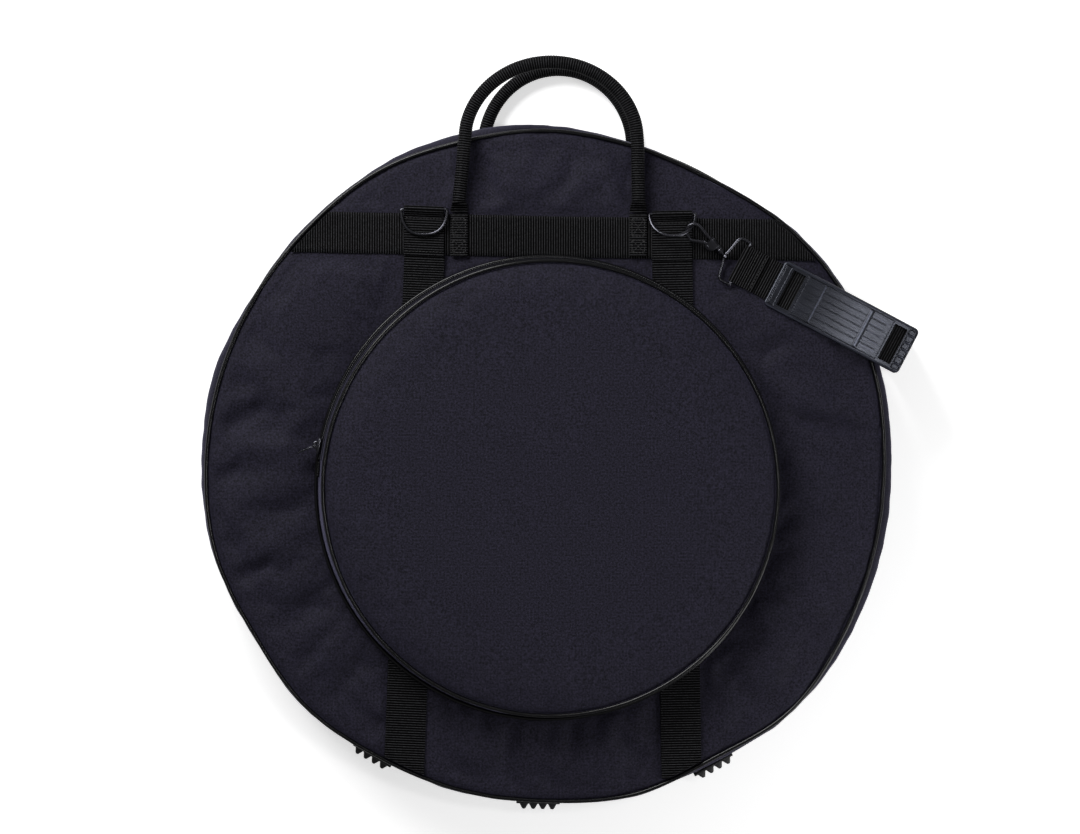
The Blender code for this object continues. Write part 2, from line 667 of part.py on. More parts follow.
def pocket():
    """Round front pocket whose upper half opens."""
    centre = (POCKET_X, POCKET_Y)
    low, high = radians(POCKET_FOLD_DEG), radians(180.0 - POCKET_FOLD_DEG)
    foot, flare = POCKET_BASE, POCKET_BASE + POCKET_BASE_FLARE
    shoulder = POCKET_RIM_BOTTOM - POCKET_SHOULDER

    def wall(points):
        inner = [(radius - POCKET_WALL_THICKNESS, height) for radius, height in reversed(points)]
        return lambda angle: points + inner

    base = [(POCKET_BASE_RADIUS, foot), (POCKET_WALL_RADIUS, flare)]
    brim = [(POCKET_WALL_RADIUS, shoulder), (POCKET_FRONT_RADIUS, POCKET_RIM_BOTTOM - GAP)]
    end_gap = GAP / POCKET_WALL_RADIUS
    ring("pocket_zip_panel", "lid", wall(base + [(POCKET_WALL_RADIUS, POCKET_SEAM - GAP)]), FABRIC,
         POCKET_STATIONS, low, high, centre)
    ring("pocket_flap_gusset", "pocket_flap", wall([(POCKET_WALL_RADIUS, POCKET_SEAM + GAP)] + brim), FABRIC,
         POCKET_STATIONS, low, high, centre)
    ring("pocket_gusset", "lid", wall(base + brim), FABRIC, POCKET_STATIONS,
         high + end_gap, low + 2.0 * pi - end_gap, centre)
    for name, group, upward in (("pocket_rear_zip_tape", "lid", False), ("pocket_flap_zip_tape", "pocket_flap", True)):
        ring(name, group, tape_section(POCKET_WALL_RADIUS + GAP, POCKET_SEAM, upward), ZIP,
             POCKET_STATIONS, low, high, centre)

    def section(angle):
        flat, edge = POCKET_FRONT_RADIUS * POCKET_PANEL_FLAT_share, POCKET_FRONT_RADIUS
        return [
            (0.0, POCKET_RIM_BOTTOM), (edge, POCKET_RIM_BOTTOM), (edge, POCKET_RIM_TOP),
            (flat, POCKET_RIM_TOP + POCKET_CROWN * 0.7), (flat / 2.0, POCKET_RIM_TOP + POCKET_CROWN),
            (0.0, POCKET_RIM_TOP + POCKET_CROWN),
        ]
    fold_y = POCKET_Y + POCKET_WALL_RADIUS * sin(low)
    reach = POCKET_FRONT_RADIUS + OVERRUN
    for name, group, near, far in (
        ("pocket_flap_panel", "pocket_flap", POCKET_Y - reach, fold_y + GAP / 2.0),
        ("pocket_panel", "lid", fold_y - GAP / 2.0, POCKET_Y + reach),
    ):
        panel = disc(name, group, section, FABRIC, POCKET_STATIONS, centre)
        frame = Matrix.Translation((POCKET_X, 0.0, POCKET_RIM_TOP))
        outline = box_outline(-reach, reach, near, far)
        combine(panel, prism(name + "_trim", group, outline, frame, PANEL_THICKNESS + OVERRUN, FABRIC), "DIFFERENCE")
    edge = POCKET_FRONT_RADIUS + PIPING_OUT + GAP
    height = mix(POCKET_RIM_BOTTOM, POCKET_RIM_TOP, 0.55)
    fold = atan2(fold_y - POCKET_Y, edge)
    clear = 2.0 * GAP / edge
    for name, group, start, end in (
        ("pocket_flap_piping", "pocket_flap", fold + clear, pi - fold - clear),
        ("pocket_piping", "lid", pi - fold + clear, 2.0 * pi + fold - clear),
    ):
        steps = POCKET_STATIONS // 2
        angles = [mix(start, end, k / steps) for k in range(steps + 1)]
        points = [(POCKET_X + edge * cos(a), POCKET_Y + edge * sin(a), height) for a in angles]
        wire(name, group, points, PIPING_RADIUS, PIPING, cyclic=False, resolution=PIPING_RESOLUTION)
    reach = POCKET_BASE_RADIUS + WELT_RADIUS + GAP
    welt = [(POCKET_X + reach * x, POCKET_Y + reach * y, POCKET_BASE + WELT_RADIUS)
            for x, y in round_outline(1.0, sides=POCKET_STATIONS + 8)]
    wire("pocket_base_welt", "lid", welt, WELT_RADIUS, PIPING, resolution=PIPING_RESOLUTION)
    for name, angle in (
        ("pocket_end_tab_left", radians(END_TAB_DEG)), ("pocket_end_tab_right", radians(180.0 - END_TAB_DEG)),
    ):
        outward = Vector((cos(angle), sin(angle), 0.0))
        seat = Vector((*centre, POCKET_SEAM)) + outward * (POCKET_WALL_RADIUS + GAP)
        frame = frame_of(seat, Vector((-sin(angle), cos(angle), 0.0)), outward)
        prism(name, "lid", box_outline(-END_TAB_LENGTH / 2.0, END_TAB_LENGTH / 2.0, 0.0, END_TAB_THICKNESS),
              frame, END_TAB_WIDTH / 4.0, WEBBING)


def divider():
    """Loose padded sheet between two cymbals."""
    def section(angle):
        radii = [REST_RADIUS] + [mix(REST_RADIUS, DIVIDER_RADIUS, share) for share in RISE_STATION_shares]
        base = PANEL_THICKNESS + GAP
        low = [(0.0, base)] + [(radius, rest_height(radius) + base) for radius in radii]
        high = [(radius, height + DIVIDER_THICKNESS) for radius, height in reversed(low)]
        return low + high
    disc("divider_pad", "tray", section, LINING, BODY_STATIONS // 2)


def sewn_height(x, y, half_width):
    """Middle of webbing sewn flat on the front panel."""
    highest = max(front_height(x + dx, y + dy) for dx in (-half_width, 0.0, half_width)
                  for dy in (-half_width, 0.0, half_width))
    return highest + SEWN_EASE + GAP + WEBBING_THICKNESS / 2.0


def front_webbing():
    """Level band, and the two long straps that hold the D-rings."""
    rows = []
    for k in range(BAND_STATIONS + 1):
        x = mix(BAND_LEFT_X, BAND_RIGHT_X, k / BAND_STATIONS)
        far = BAND_LEFT_Y if x < 0.0 else BAND_RIGHT_Y
        middle = mix(BAND_MIDDLE_Y, far, abs(x) / max(-BAND_LEFT_X, BAND_RIGHT_X))
        row = []
        for across in (-0.5, -0.25, 0.0, 0.25, 0.5):
            y = middle + across * WEBBING_WIDTH
            reach = sqrt((front_seam_radius(atan2(y, x)) - PIPING_RADIUS) ** 2 - y * y)
            row.append((min(reach, max(-reach, x)), y))
        rows.append(row)
    rings = []
    for row in rows:
        low = [Vector((x, y, front_height(x, y) + SEWN_EASE)) for x, y in row]
        rings.append(low + [point + Z_AXIS * WEBBING_THICKNESS for point in reversed(low)])
    finish("front_band", "lid", loft("front_band", rings, False), WEBBING)
    for name, top_x, foot_x, bar_y in (
        ("front_strap_left", STRAP_TOP_LEFT_X, STRAP_FOOT_LEFT_X, RING_BAR_LEFT_Y),
        ("front_strap_right", STRAP_TOP_RIGHT_X, STRAP_FOOT_RIGHT_X, RING_BAR_RIGHT_Y),
    ):
        turn = RING_WIRE_RADIUS + GAP + WEBBING_THICKNESS / 2.0
        path = [(LOOP_RETURN_END_Y, LOOP_RETURN_Z), (bar_y - LOOP_RUN, LOOP_RETURN_Z)]
        path += [(bar_y + turn * cos(a), RING_BAR_Z + turn * sin(a))
                 for a in (radians(d) for d in (125.0, 90.0, 50.0, 10.0, -30.0, -70.0, -100.0))]
        path += [(bar_y - LOOP_RUN / 2.0, LOOP_UNDER_Z), (STRAP_STEP_Y, LOOP_UNDER_Z)]
        for y in (STRAP_STEP_Y - STRAP_STEP_RUN, 0.0, STRAP_FOOT_Y * 0.8, STRAP_FOOT_Y):
            path.append((y, sewn_height(mix(foot_x, top_x, (y - STRAP_FOOT_Y) / (STRAP_STEP_Y - STRAP_FOOT_Y)),
                                        y, WEBBING_WIDTH / 2.0)))
        points = []
        for y, z in path:
            share = min(1.0, (y - STRAP_FOOT_Y) / (STRAP_STEP_Y - STRAP_FOOT_Y))
            points.append(Vector((mix(foot_x, top_x, share), y, z)))
        ribbon(name, "lid", points, (1.0, 0.0, 0.0), WEBBING)


def ring_point(bar, tilt, turn):
    """Middle of a D-ring's wire, at a turn round its bow."""
    half = (WEBBING_WIDTH + RING_INSIDE_CLEARANCE) / 2.0 + RING_WIRE_RADIUS
    wide = abs(cos(turn)) ** RING_SQUARENESS_share * (1.0 if cos(turn) > 0.0 else -1.0)
    down = RING_DEPTH * abs(sin(turn)) ** RING_FULLNESS_share
    return Vector((bar.x + half * wide, bar.y - down * cos(tilt), bar.z + down * sin(tilt)))


def d_rings():
    """Two D-rings, each turning on its straight bar."""
    for name, bar, tilt in (
        ("d_ring_left", Vector((STRAP_TOP_LEFT_X, RING_BAR_LEFT_Y, RING_BAR_Z)), RING_LEFT_TILT_DEG),
        ("d_ring_right", Vector((STRAP_TOP_RIGHT_X, RING_BAR_RIGHT_Y, RING_BAR_Z)), RING_RIGHT_TILT_DEG),
    ):
        body(name, bar, "lid")
        turns = [radians(d) for d in (0, 12, 26, 42, 58, 74, 90, 106, 122, 138, 154, 168, 180)]
        wire(name, name, [ring_point(bar, radians(tilt), turn) for turn in turns], RING_WIRE_RADIUS, METAL)


def superellipse(half_width, half_height, squareness, sides=10):
    """Rounded section between a flat strap and a round tube."""
    points = []
    for k in range(sides):
        angle = 2.0 * pi * (k + 0.5) / sides
        c, s = cos(angle), sin(angle)
        grow = (abs(c) ** squareness + abs(s) ** squareness) ** (-1.0 / squareness)
        points.append((half_width * c * grow, half_height * s * grow))
    return points


def handle(name, group, left_x, right_x, arch_left_x, arch_right_x, arch_y, arch_height, root_z, tube_z):
    """Tube of rolled webbing that flattens to its two roots."""
    middle, half = (arch_left_x + arch_right_x) / 2.0, (arch_right_x - arch_left_x) / 2.0
    flat = (HANDLE_TAB_WIDTH / 2.0, HANDLE_ROOT_THICKNESS / 2.0, 6.0)
    tube = (HANDLE_RADIUS, HANDLE_RADIUS, 2.0)
    tip = (HANDLE_TAB_WIDTH / 2.0, HANDLE_TIP_THICKNESS / 2.0, 6.0)
    end = HANDLE_PIVOT_Y + GAP / 2.0
    start = end + HANDLE_TIP_LENGTH
    near = mix(start, HANDLE_ROUND_Y, 0.45)
    half_way = tuple(mix(a, b, 0.5) for a, b in zip(flat, tube))
    left = [
        (Vector((left_x, end, root_z)), tip), (Vector((left_x, start, root_z)), flat),
        (Vector((left_x, near, mix(root_z, tube_z, 0.6))), half_way),
        (Vector((left_x, HANDLE_ROUND_Y, tube_z)), tube),
        (Vector((mix(left_x, arch_left_x, 0.6), mix(HANDLE_ROUND_Y, arch_y, 0.55), tube_z)), tube),
    ]
    bow = []
    for k in range(13):
        turn = pi * (1.0 - k / 12.0)
        bow.append((Vector((middle + half * cos(turn), arch_y + arch_height * sin(turn), tube_z)), tube))
    right = [
        (Vector((mix(right_x, arch_right_x, 0.6), mix(HANDLE_ROUND_Y, arch_y, 0.55), tube_z)), tube),
        (Vector((right_x, HANDLE_ROUND_Y, tube_z)), tube),
        (Vector((right_x, near, mix(root_z, tube_z, 0.6))), half_way),
        (Vector((right_x, start, root_z)), flat), (Vector((right_x, end, root_z)), tip),
    ]
    stations = left + bow + right
    rings = []
    for index, (point, (wide, high, squareness)) in enumerate(stations):
        before, after = stations[max(0, index - 1)][0], stations[min(len(stations) - 1, index + 1)][0]
        ahead = after - before
        ahead.z = 0.0
        side = ahead.normalized().cross(Z_AXIS)
        rings.append([point + side * u + Z_AXIS * v for u, v in superellipse(wide, high, squareness)])
    finish(name, group, loft(name, rings, False), WEBBING)


def handle_tab(name, group, x, z):
    """Flat sewn end of a handle, thinned where the tube turns on it."""
    end = HANDLE_PIVOT_Y - GAP / 2.0
    rings = []
    for y, thickness in (
        (HANDLE_TAB_END_Y, HANDLE_TAB_THICKNESS), (end - HANDLE_TIP_LENGTH, HANDLE_TAB_THICKNESS),
        (end, HANDLE_TIP_THICKNESS),
    ):
        corners = box_outline(-HANDLE_TAB_WIDTH / 2.0, HANDLE_TAB_WIDTH / 2.0, -thickness / 2.0, thickness / 2.0)
        rings.append([Vector((x + u, y, z + v)) for u, v in corners])
    finish(name, group, loft(name, rings, False), WEBBING)


def handles():
    """Front handle on the front band, rear handle on its own band."""
    band_top = FRONT_TOP + SEWN_EASE + WEBBING_THICKNESS
    front_z = band_top + GAP + HANDLE_TAB_THICKNESS / 2.0
    body("front_handle", (0.0, HANDLE_PIVOT_Y, front_z), "lid")
    handle("front_handle", "front_handle", FRONT_HANDLE_LEFT_X, FRONT_HANDLE_RIGHT_X, FRONT_HANDLE_ARCH_LEFT_X,
           FRONT_HANDLE_ARCH_RIGHT_X, FRONT_HANDLE_ARCH_Y, FRONT_HANDLE_ARCH_HEIGHT, front_z, FRONT_HANDLE_Z)
    handle_tab("front_handle_tab_left", "lid", FRONT_HANDLE_LEFT_X, front_z)
    handle_tab("front_handle_tab_right", "lid", FRONT_HANDLE_RIGHT_X, front_z)
    rear_z = REAR_BAND_Z - WEBBING_THICKNESS / 2.0 - GAP - HANDLE_TAB_THICKNESS / 2.0
    body("rear_handle", (0.0, HANDLE_PIVOT_Y, rear_z), "tray")
    handle("rear_handle", "rear_handle", REAR_HANDLE_LEFT_X, REAR_HANDLE_RIGHT_X, REAR_HANDLE_LEFT_X,
           REAR_HANDLE_RIGHT_X, FRONT_HANDLE_ARCH_Y, REAR_HANDLE_ARCH_HEIGHT, rear_z, REAR_HANDLE_Z)
    handle_tab("rear_handle_tab_left", "tray", REAR_HANDLE_LEFT_X, rear_z)
    handle_tab("rear_handle_tab_right", "tray", REAR_HANDLE_RIGHT_X, rear_z)
    ends = [Vector((x, BAND_MIDDLE_Y, REAR_BAND_Z)) for x in (-REAR_BAND_HALF_LENGTH, REAR_BAND_HALF_LENGTH)]
    ribbon("rear_band", "tray", ends, (0.0, 1.0, 0.0), WEBBING)


def feet():
    """Rubber feet with blunt studs, side by side under the bag."""
    for name, angle_deg in zip(("foot_left", "foot_middle", "foot_right"), FOOT_ANGLES_DEG):
        angle = radians(angle_deg)
        outward = Vector((cos(angle), sin(angle), 0.0))
        reach = FOOT_LENGTH / BODY_RADIUS / 2.0
        seat = max(outline_radius(angle + turn * reach) * cos(turn * reach) for turn in (-1.0, -0.5, 0.0, 0.5, 1.0))
        made = bmesh.new()
        columns, rows = int(2 * STUD_COLUMNS + 1), int(2 * STUD_ROWS + 1)
        cell_u = (FOOT_LENGTH - STUD_MARGIN * (STUD_COLUMNS + 1)) / STUD_COLUMNS
        cell_v = (FOOT_WIDTH - STUD_MARGIN * (STUD_ROWS + 1)) / STUD_ROWS
        us, vs = [-FOOT_LENGTH / 2.0], [-FOOT_WIDTH / 2.0]
        for k in range(columns):
            us.append(us[-1] + (cell_u if k % 2 else STUD_MARGIN))
        for k in range(rows):
            vs.append(vs[-1] + (cell_v if k % 2 else STUD_MARGIN))
        bmesh.ops.create_grid(made, x_segments=columns, y_segments=rows, size=0.5)
        for vert in made.verts:
            vert.co.x = us[round((vert.co.x + 0.5) * columns)]
            vert.co.y = vs[round((vert.co.y + 0.5) * rows)]
        studs = [face for face in made.faces
                 if min(abs(face.calc_center_median().x - (us[k] + us[k + 1]) / 2.0) for k in range(1, columns, 2))
                 < STUD_MARGIN / 4.0
                 and min(abs(face.calc_center_median().y - (vs[k] + vs[k + 1]) / 2.0) for k in range(1, rows, 2))
                 < STUD_MARGIN / 4.0]
        top = list(made.faces)
        geometry = bmesh.ops.extrude_face_region(made, geom=top, use_keep_orig=True)["geom"]
        for vert in (item for item in geometry if isinstance(item, bmesh.types.BMVert)):
            vert.co.z -= FOOT_BASE
        bmesh.ops.recalc_face_normals(made, faces=made.faces)
        bmesh.ops.inset_individual(made, faces=studs, thickness=min(cell_u, cell_v) * 0.33, depth=0.0)
        for vert in {vert for face in studs for vert in face.verts}:
            vert.co.z += STUD_HEIGHT
        place = frame_of(outward * (seat + GAP + FOOT_BASE) + Z_AXIS * FOOT_Z,
                         Vector((-sin(angle), cos(angle), 0.0)), Z_AXIS)
        bmesh.ops.transform(made, matrix=place, verts=made.verts)
        finish(name, "tray", closed_mesh(name, made), RUBBER)


def strap_axes():
    """Heading, sideways direction and start of the shoulder strap."""
    heading = radians(STRAP_HEADING_DEG)
    along = Vector((cos(heading), sin(heading), 0.0))
    return Vector((STRAP_BAR_X, STRAP_BAR_Y, 0.0)), along, Z_AXIS.cross(along)


def pad_lift(s):
    """Height of the pad's arch at a place along the strap."""
    share = (s - PAD_START_S) / (PAD_END_S - PAD_START_S)
    return PAD_RISE * sin(pi * min(1.0, max(0.0, share)))


def shoulder_strap():
    """Webbing with its wire loops, pad, adjuster and two snap hooks."""
    start, along, side = strap_axes()
    channel_z = PAD_BASE_Z + PAD_FLOOR + PAD_CHANNEL_HEIGHT / 2.0

    def at(s, z):
        return start + along * s + Z_AXIS * z

    turn = LOOP_WIRE_RADIUS + GAP + WEBBING_THICKNESS / 2.0
    lap = WEBBING_THICKNESS / 2.0 + GAP / 2.0
    bend = [(turn * cos(a), STRAP_BAR_Z + turn * sin(a)) for a in
            (radians(d) for d in (60.0, 90.0, 130.0, 180.0, 230.0, 270.0, 300.0))]
    top = channel_z + lap
    path = [(STRAP_LAP_S, top + WEBBING_THICKNESS + GAP), (STRAP_LOOP_RADIUS * 3.0, top + WEBBING_THICKNESS + GAP)]
    path += bend + [(STRAP_LOOP_RADIUS * 3.0, channel_z), (PAD_START_S, channel_z)]
    path += [(s, channel_z + pad_lift(s)) for s in (0.060, 0.080, 0.1056, 0.131, STRAP_SPLIT_S)]
    ribbon("strap_front", "lid", [at(s, z) for s, z in path], side, WEBBING)

    near, far = (mix(STRAP_SPLIT_S, DROP_S, share) for share in DROP_RUN_shares)
    drop = [(STRAP_SPLIT_S + GAP, channel_z + pad_lift(STRAP_SPLIT_S)), (near, channel_z + pad_lift(near) - GAP),
            (far, channel_z - DROP_DIP), (DROP_S - DROP_BEND / 4.0, channel_z - DROP_BEND),
            (DROP_S, channel_z - 3.0 * DROP_BEND)]
    drop += [(DROP_S, mix(TAIL_Z[0], channel_z, share)) for share in DROP_HEIGHT_shares]
    drop += [(DROP_S - DROP_BEND, TAIL_Z[0] + 2.0 * DROP_BEND / 3.0), (DROP_S - 3.0 * DROP_BEND, TAIL_Z[0]),
             (TAIL_SPLIT_S + GAP, TAIL_Z[0])]
    ribbon("strap_turn", "tray", [at(s, z) for s, z in drop], side, WEBBING)

    low, middle, high = TAIL_Z
    fold = (middle - low) / 2.0
    tail = [(TAIL_SPLIT_S, low), (0.080, low), (TAIL_NEAR_S, low), (TAIL_NEAR_S - fold, mix(low, middle, 0.5)),
            (TAIL_NEAR_S, middle), (0.070, middle), (TAIL_FAR_S, middle), (TAIL_FAR_S + fold, mix(middle, high, 0.5)),
            (TAIL_FAR_S, high), (0.060, high), (TAIL_BAR_S + 0.008, high)]
    tail_bar_z = high
    tail += [(TAIL_BAR_S + turn * cos(a), tail_bar_z + turn * sin(a)) for a in
             (radians(d) for d in (80.0, 130.0, 180.0, 230.0, 280.0))]
    tail += [(TAIL_BAR_S + 0.009, tail_bar_z - WEBBING_THICKNESS - GAP)]
    ribbon("strap_tail", "tray", [at(s, z) for s, z in tail], side, WEBBING)

    frame = frame_of(at(ADJUSTER_S, (low + high) / 2.0), side, Z_AXIS)
    half_u = WEBBING_WIDTH / 2.0 + PAD_CHANNEL_CLEARANCE
    half_v = (high - low) / 2.0 + WEBBING_THICKNESS / 2.0 + GAP
    wall_v = min(ADJUSTER_WALL, low - WEBBING_THICKNESS / 2.0 - 2.0 * GAP)
    adjuster = prism("strap_adjuster", "tray",
                     box_outline(-half_u - ADJUSTER_SIDE, half_u + ADJUSTER_SIDE, -half_v - wall_v, half_v + wall_v),
                     frame, ADJUSTER_LENGTH / 2.0, METAL)
    slot = prism("adjuster_slot", "tray", box_outline(-half_u, half_u, -half_v, half_v), frame,
                 ADJUSTER_LENGTH / 2.0 + OVERRUN, METAL)
    combine(adjuster, slot, "DIFFERENCE")

    shoulder_pad(at, along, side)

    bar = Vector((STRAP_TOP_RIGHT_X, RING_BAR_RIGHT_Y, RING_BAR_Z))
    held = ring_point(bar, radians(RING_RIGHT_TILT_DEG), radians(RING_HOOKED_AT_DEG))
    neck = at(-LOOP_DEPTH, STRAP_BAR_Z)
    span = neck - held
    reach = sqrt(span.length_squared - HOOK_EYE_RADIUS * HOOK_EYE_RADIUS)
    level = span.cross(Z_AXIS).normalized()
    towards = span.normalized()
    gate_way = level * cos(radians(HOOK_ROLL_DEG)) - level.cross(towards) * sin(radians(HOOK_ROLL_DEG))
    bend = atan2(HOOK_EYE_RADIUS, reach)
    ahead = towards * cos(bend) + gate_way * sin(bend)
    snap_hook("snap_hook", "lid", neck, ahead, gate_way * cos(bend) - towards * sin(bend), along, side)
    snap_hook("end_hook", "tray", at(TAIL_BAR_S - LOOP_DEPTH, tail_bar_z), along, side, along, side)


def shoulder_pad(at, along, side):
    """Moulded pad that slides on the webbing, with a window near each end."""
    body("shoulder_pad", at(PAD_START_S, PAD_BASE_Z), "lid")

    def swept(name, start_s, end_s, low, high, half_width):
        rings = []
        for k in range(9):
            s = mix(start_s, end_s, k / 8.0)
            base = PAD_BASE_Z + pad_lift(s)
            rings.append([at(s, base + z) + side * w for w, z in
                          ((-half_width, low), (half_width, low), (half_width, high), (-half_width, high))])
        return finish(name, "shoulder_pad", loft(name, rings, False), MOULDED)

    pad = swept("shoulder_pad", PAD_START_S, PAD_END_S, 0.0, PAD_THICKNESS, PAD_WIDTH / 2.0)
    half = WEBBING_WIDTH / 2.0 + PAD_CHANNEL_CLEARANCE
    channel_top = PAD_FLOOR + PAD_CHANNEL_HEIGHT
    combine(pad, swept("pad_channel", PAD_START_S - OVERRUN, PAD_END_S + OVERRUN, PAD_FLOOR, channel_top, half),
            "DIFFERENCE")
    combine(pad, swept("pad_mouth", PAD_MOUTH_S, PAD_END_S + OVERRUN, -OVERRUN, channel_top - GAP, half), "DIFFERENCE")
    for index, start_s in enumerate(PAD_WINDOW_START_S):
        combine(pad, swept("pad_window_%d" % (index + 1), start_s, start_s + PAD_WINDOW_LENGTH,
                           channel_top - GAP, PAD_THICKNESS + OVERRUN, PAD_WINDOW_WIDTH / 2.0), "DIFFERENCE")


def snap_hook(name, carrier, neck, ahead, gate_way, along, side):
    """Swivel snap hook: body, sprung gate, rivet and the wire loop that holds the webbing."""
    frame = frame_of(neck - ahead * HOOK_SWIVEL_P, ahead, gate_way)
    body(name, neck, carrier)
    body(name + "_gate", frame @ Vector((GATE_PIVOT_P, GATE_PIVOT_Q, 0.0)), name)

    def hook_point(p, q):
        return frame @ Vector((p, q, 0.0))

    bow = [hook_point(HOOK_EYE_RADIUS * cos(a), HOOK_EYE_RADIUS * (1.0 + sin(a)))
           for a in (radians(d) for d in (270, 245, 220, 195, 170, 145, 120, 90))]
    arm = [hook_point(BARREL_START_P, 0.0), hook_point(BLOCK_START_P, 0.0)]
    hook = wire(name + "_body", name, arm + bow + [hook_point(HOOK_NOSE_P, 2.0 * HOOK_EYE_RADIUS)],
                HOOK_WIRE_RADIUS, METAL, cyclic=False)
    block = prism(name + "_block", name, box_outline(BLOCK_START_P, BLOCK_END_P, BLOCK_LOW_Q, BLOCK_HIGH_Q),
                  frame, BLOCK_HALF_THICKNESS, METAL)
    slot = prism(name + "_slot", name,
                 box_outline(BLOCK_START_P - OVERRUN, SLOT_END_P, BLOCK_LOW_Q - OVERRUN, BLOCK_HIGH_Q + OVERRUN),
                 frame, SLOT_HALF_THICKNESS, METAL)
    combine(block, slot, "DIFFERENCE")
    through = prism(name + "_rivet_hole", name,
                    round_outline(RIVET_RADIUS + RIVET_CLEARANCE, (GATE_PIVOT_P, GATE_PIVOT_Q)),
                    frame, BLOCK_HALF_THICKNESS + OVERRUN, METAL)
    third = frame.col[2].to_3d()

    def round_bar(kind, group, radius, start_p, end_p):
        middle = frame_of(hook_point((start_p + end_p) / 2.0, 0.0), gate_way, third)
        return prism(name + kind, group, round_outline(radius), middle, (end_p - start_p) / 2.0, METAL)

    barrel = round_bar("_barrel", name, BARREL_RADIUS, BARREL_START_P, BARREL_END_P)
    bore = round_bar("_bore", name, BORE_RADIUS, BORE_START_P, BARREL_END_P + OVERRUN)
    combine(hook, block, "UNION")
    combine(hook, barrel, "UNION")
    combine(hook, bore, "DIFFERENCE")
    combine(hook, through, "DIFFERENCE")
    prism(name + "_rivet", name, round_outline(RIVET_RADIUS, (GATE_PIVOT_P, GATE_PIVOT_Q)), frame,
          BLOCK_HALF_THICKNESS + RIVET_HEAD, METAL)
    gate = prism(name + "_gate", name + "_gate", GATE_OUTLINE, frame, GATE_HALF_THICKNESS, METAL)
    hole = prism(name + "_gate_hole", name + "_gate",
                 round_outline(RIVET_RADIUS + RIVET_CLEARANCE, (GATE_PIVOT_P, GATE_PIVOT_Q)), frame,
                 GATE_HALF_THICKNESS + OVERRUN, METAL)
    combine(gate, hole, "DIFFERENCE")

    far = neck + along * LOOP_DEPTH
    path = []
    for depth_share, width_share in ((0.0, 1.0), (LOOP_SHOULDER_share, 1.0), (LOOP_NECK_share, LOOP_WAIST_share)):
        path.append(far - along * LOOP_DEPTH * depth_share + side * LOOP_HALF_WIDTH * width_share)
    path.append(far - along * LOOP_DEPTH)
    for depth_share, width_share in ((LOOP_NECK_share, LOOP_WAIST_share), (LOOP_SHOULDER_share, 1.0), (0.0, 1.0)):
        path.append(far - along * LOOP_DEPTH * depth_share - side * LOOP_HALF_WIDTH * width_share)
    loop = wire(name + "_loop", carrier, path, LOOP_WIRE_RADIUS, METAL)
    stem = round_bar("_stem", carrier, STEM_RADIUS, STEM_START_P, HOOK_SWIVEL_P)
    ball = bmesh.new()
    bmesh.ops.create_uvsphere(ball, u_segments=10, v_segments=6, radius=SWIVEL_BALL_RADIUS)
    bmesh.ops.transform(ball, matrix=Matrix.Translation(neck), verts=ball.verts)
    knob = finish(name + "_ball", carrier, closed_mesh(name + "_ball", ball), METAL)
    combine(loop, stem, "UNION")
    combine(loop, knob, "UNION")


def main():
    """Build the bag."""
    body("tray", TRAY_PIVOT)
    lowest = max(seam_radius(radians(d)) * -sin(radians(d)) for d in range(240, 301, 5))
    body("lid", (0.0, -lowest - GAP, SEAM_HEIGHT), "tray")
    fold_y = POCKET_Y + POCKET_WALL_RADIUS * sin(radians(POCKET_FOLD_DEG))
    body("pocket_flap", (POCKET_X, fold_y, POCKET_RIM_TOP + POCKET_CROWN), "lid")
    back_panel()
    walls()
    front_panel()
    piping()
    main_zip()
    divider()
    pocket()
    front_webbing()
    d_rings()
    handles()
    feet()
    shoulder_strap()
    main_coil = ZIP_RADIUS + TAPE_SEAT + COIL_THICKNESS
    pocket_coil = POCKET_WALL_RADIUS + GAP + COIL_THICKNESS
    zip_centre, pocket_centre = (ZIP_CENTRE_X, ZIP_CENTRE_Y), (POCKET_X, POCKET_Y)
    slider("main_slider_high", zip_centre, main_coil, SEAM_HEIGHT, radians(MAIN_SLIDER_HIGH_DEG),
           PULL_LENGTH, 0.0, 1.0, "tray")
    slider("main_slider_low", zip_centre, main_coil, SEAM_HEIGHT, radians(MAIN_SLIDER_LOW_DEG),
           PULL_LENGTH, 0.0, -1.0, "tray")
    slider("pocket_slider", pocket_centre, pocket_coil, POCKET_SEAM, radians(POCKET_SLIDER_DEG),
           POCKET_PULL_LENGTH, POCKET_PULL_REST_DEG, 1.0, "pocket_flap")


main()
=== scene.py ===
"""Dresses the cymbal bag's frame: cloth, webbing, piping, zips and hardware, on a pale studio floor."""
from math import atan2, ceil, cos, hypot, pi, radians, sin, sqrt

import bmesh
import bpy
from bpy.props import FloatProperty, FloatVectorProperty, PointerProperty
from mathutils import Matrix, Vector, noise
from mathutils.kdtree import KDTree


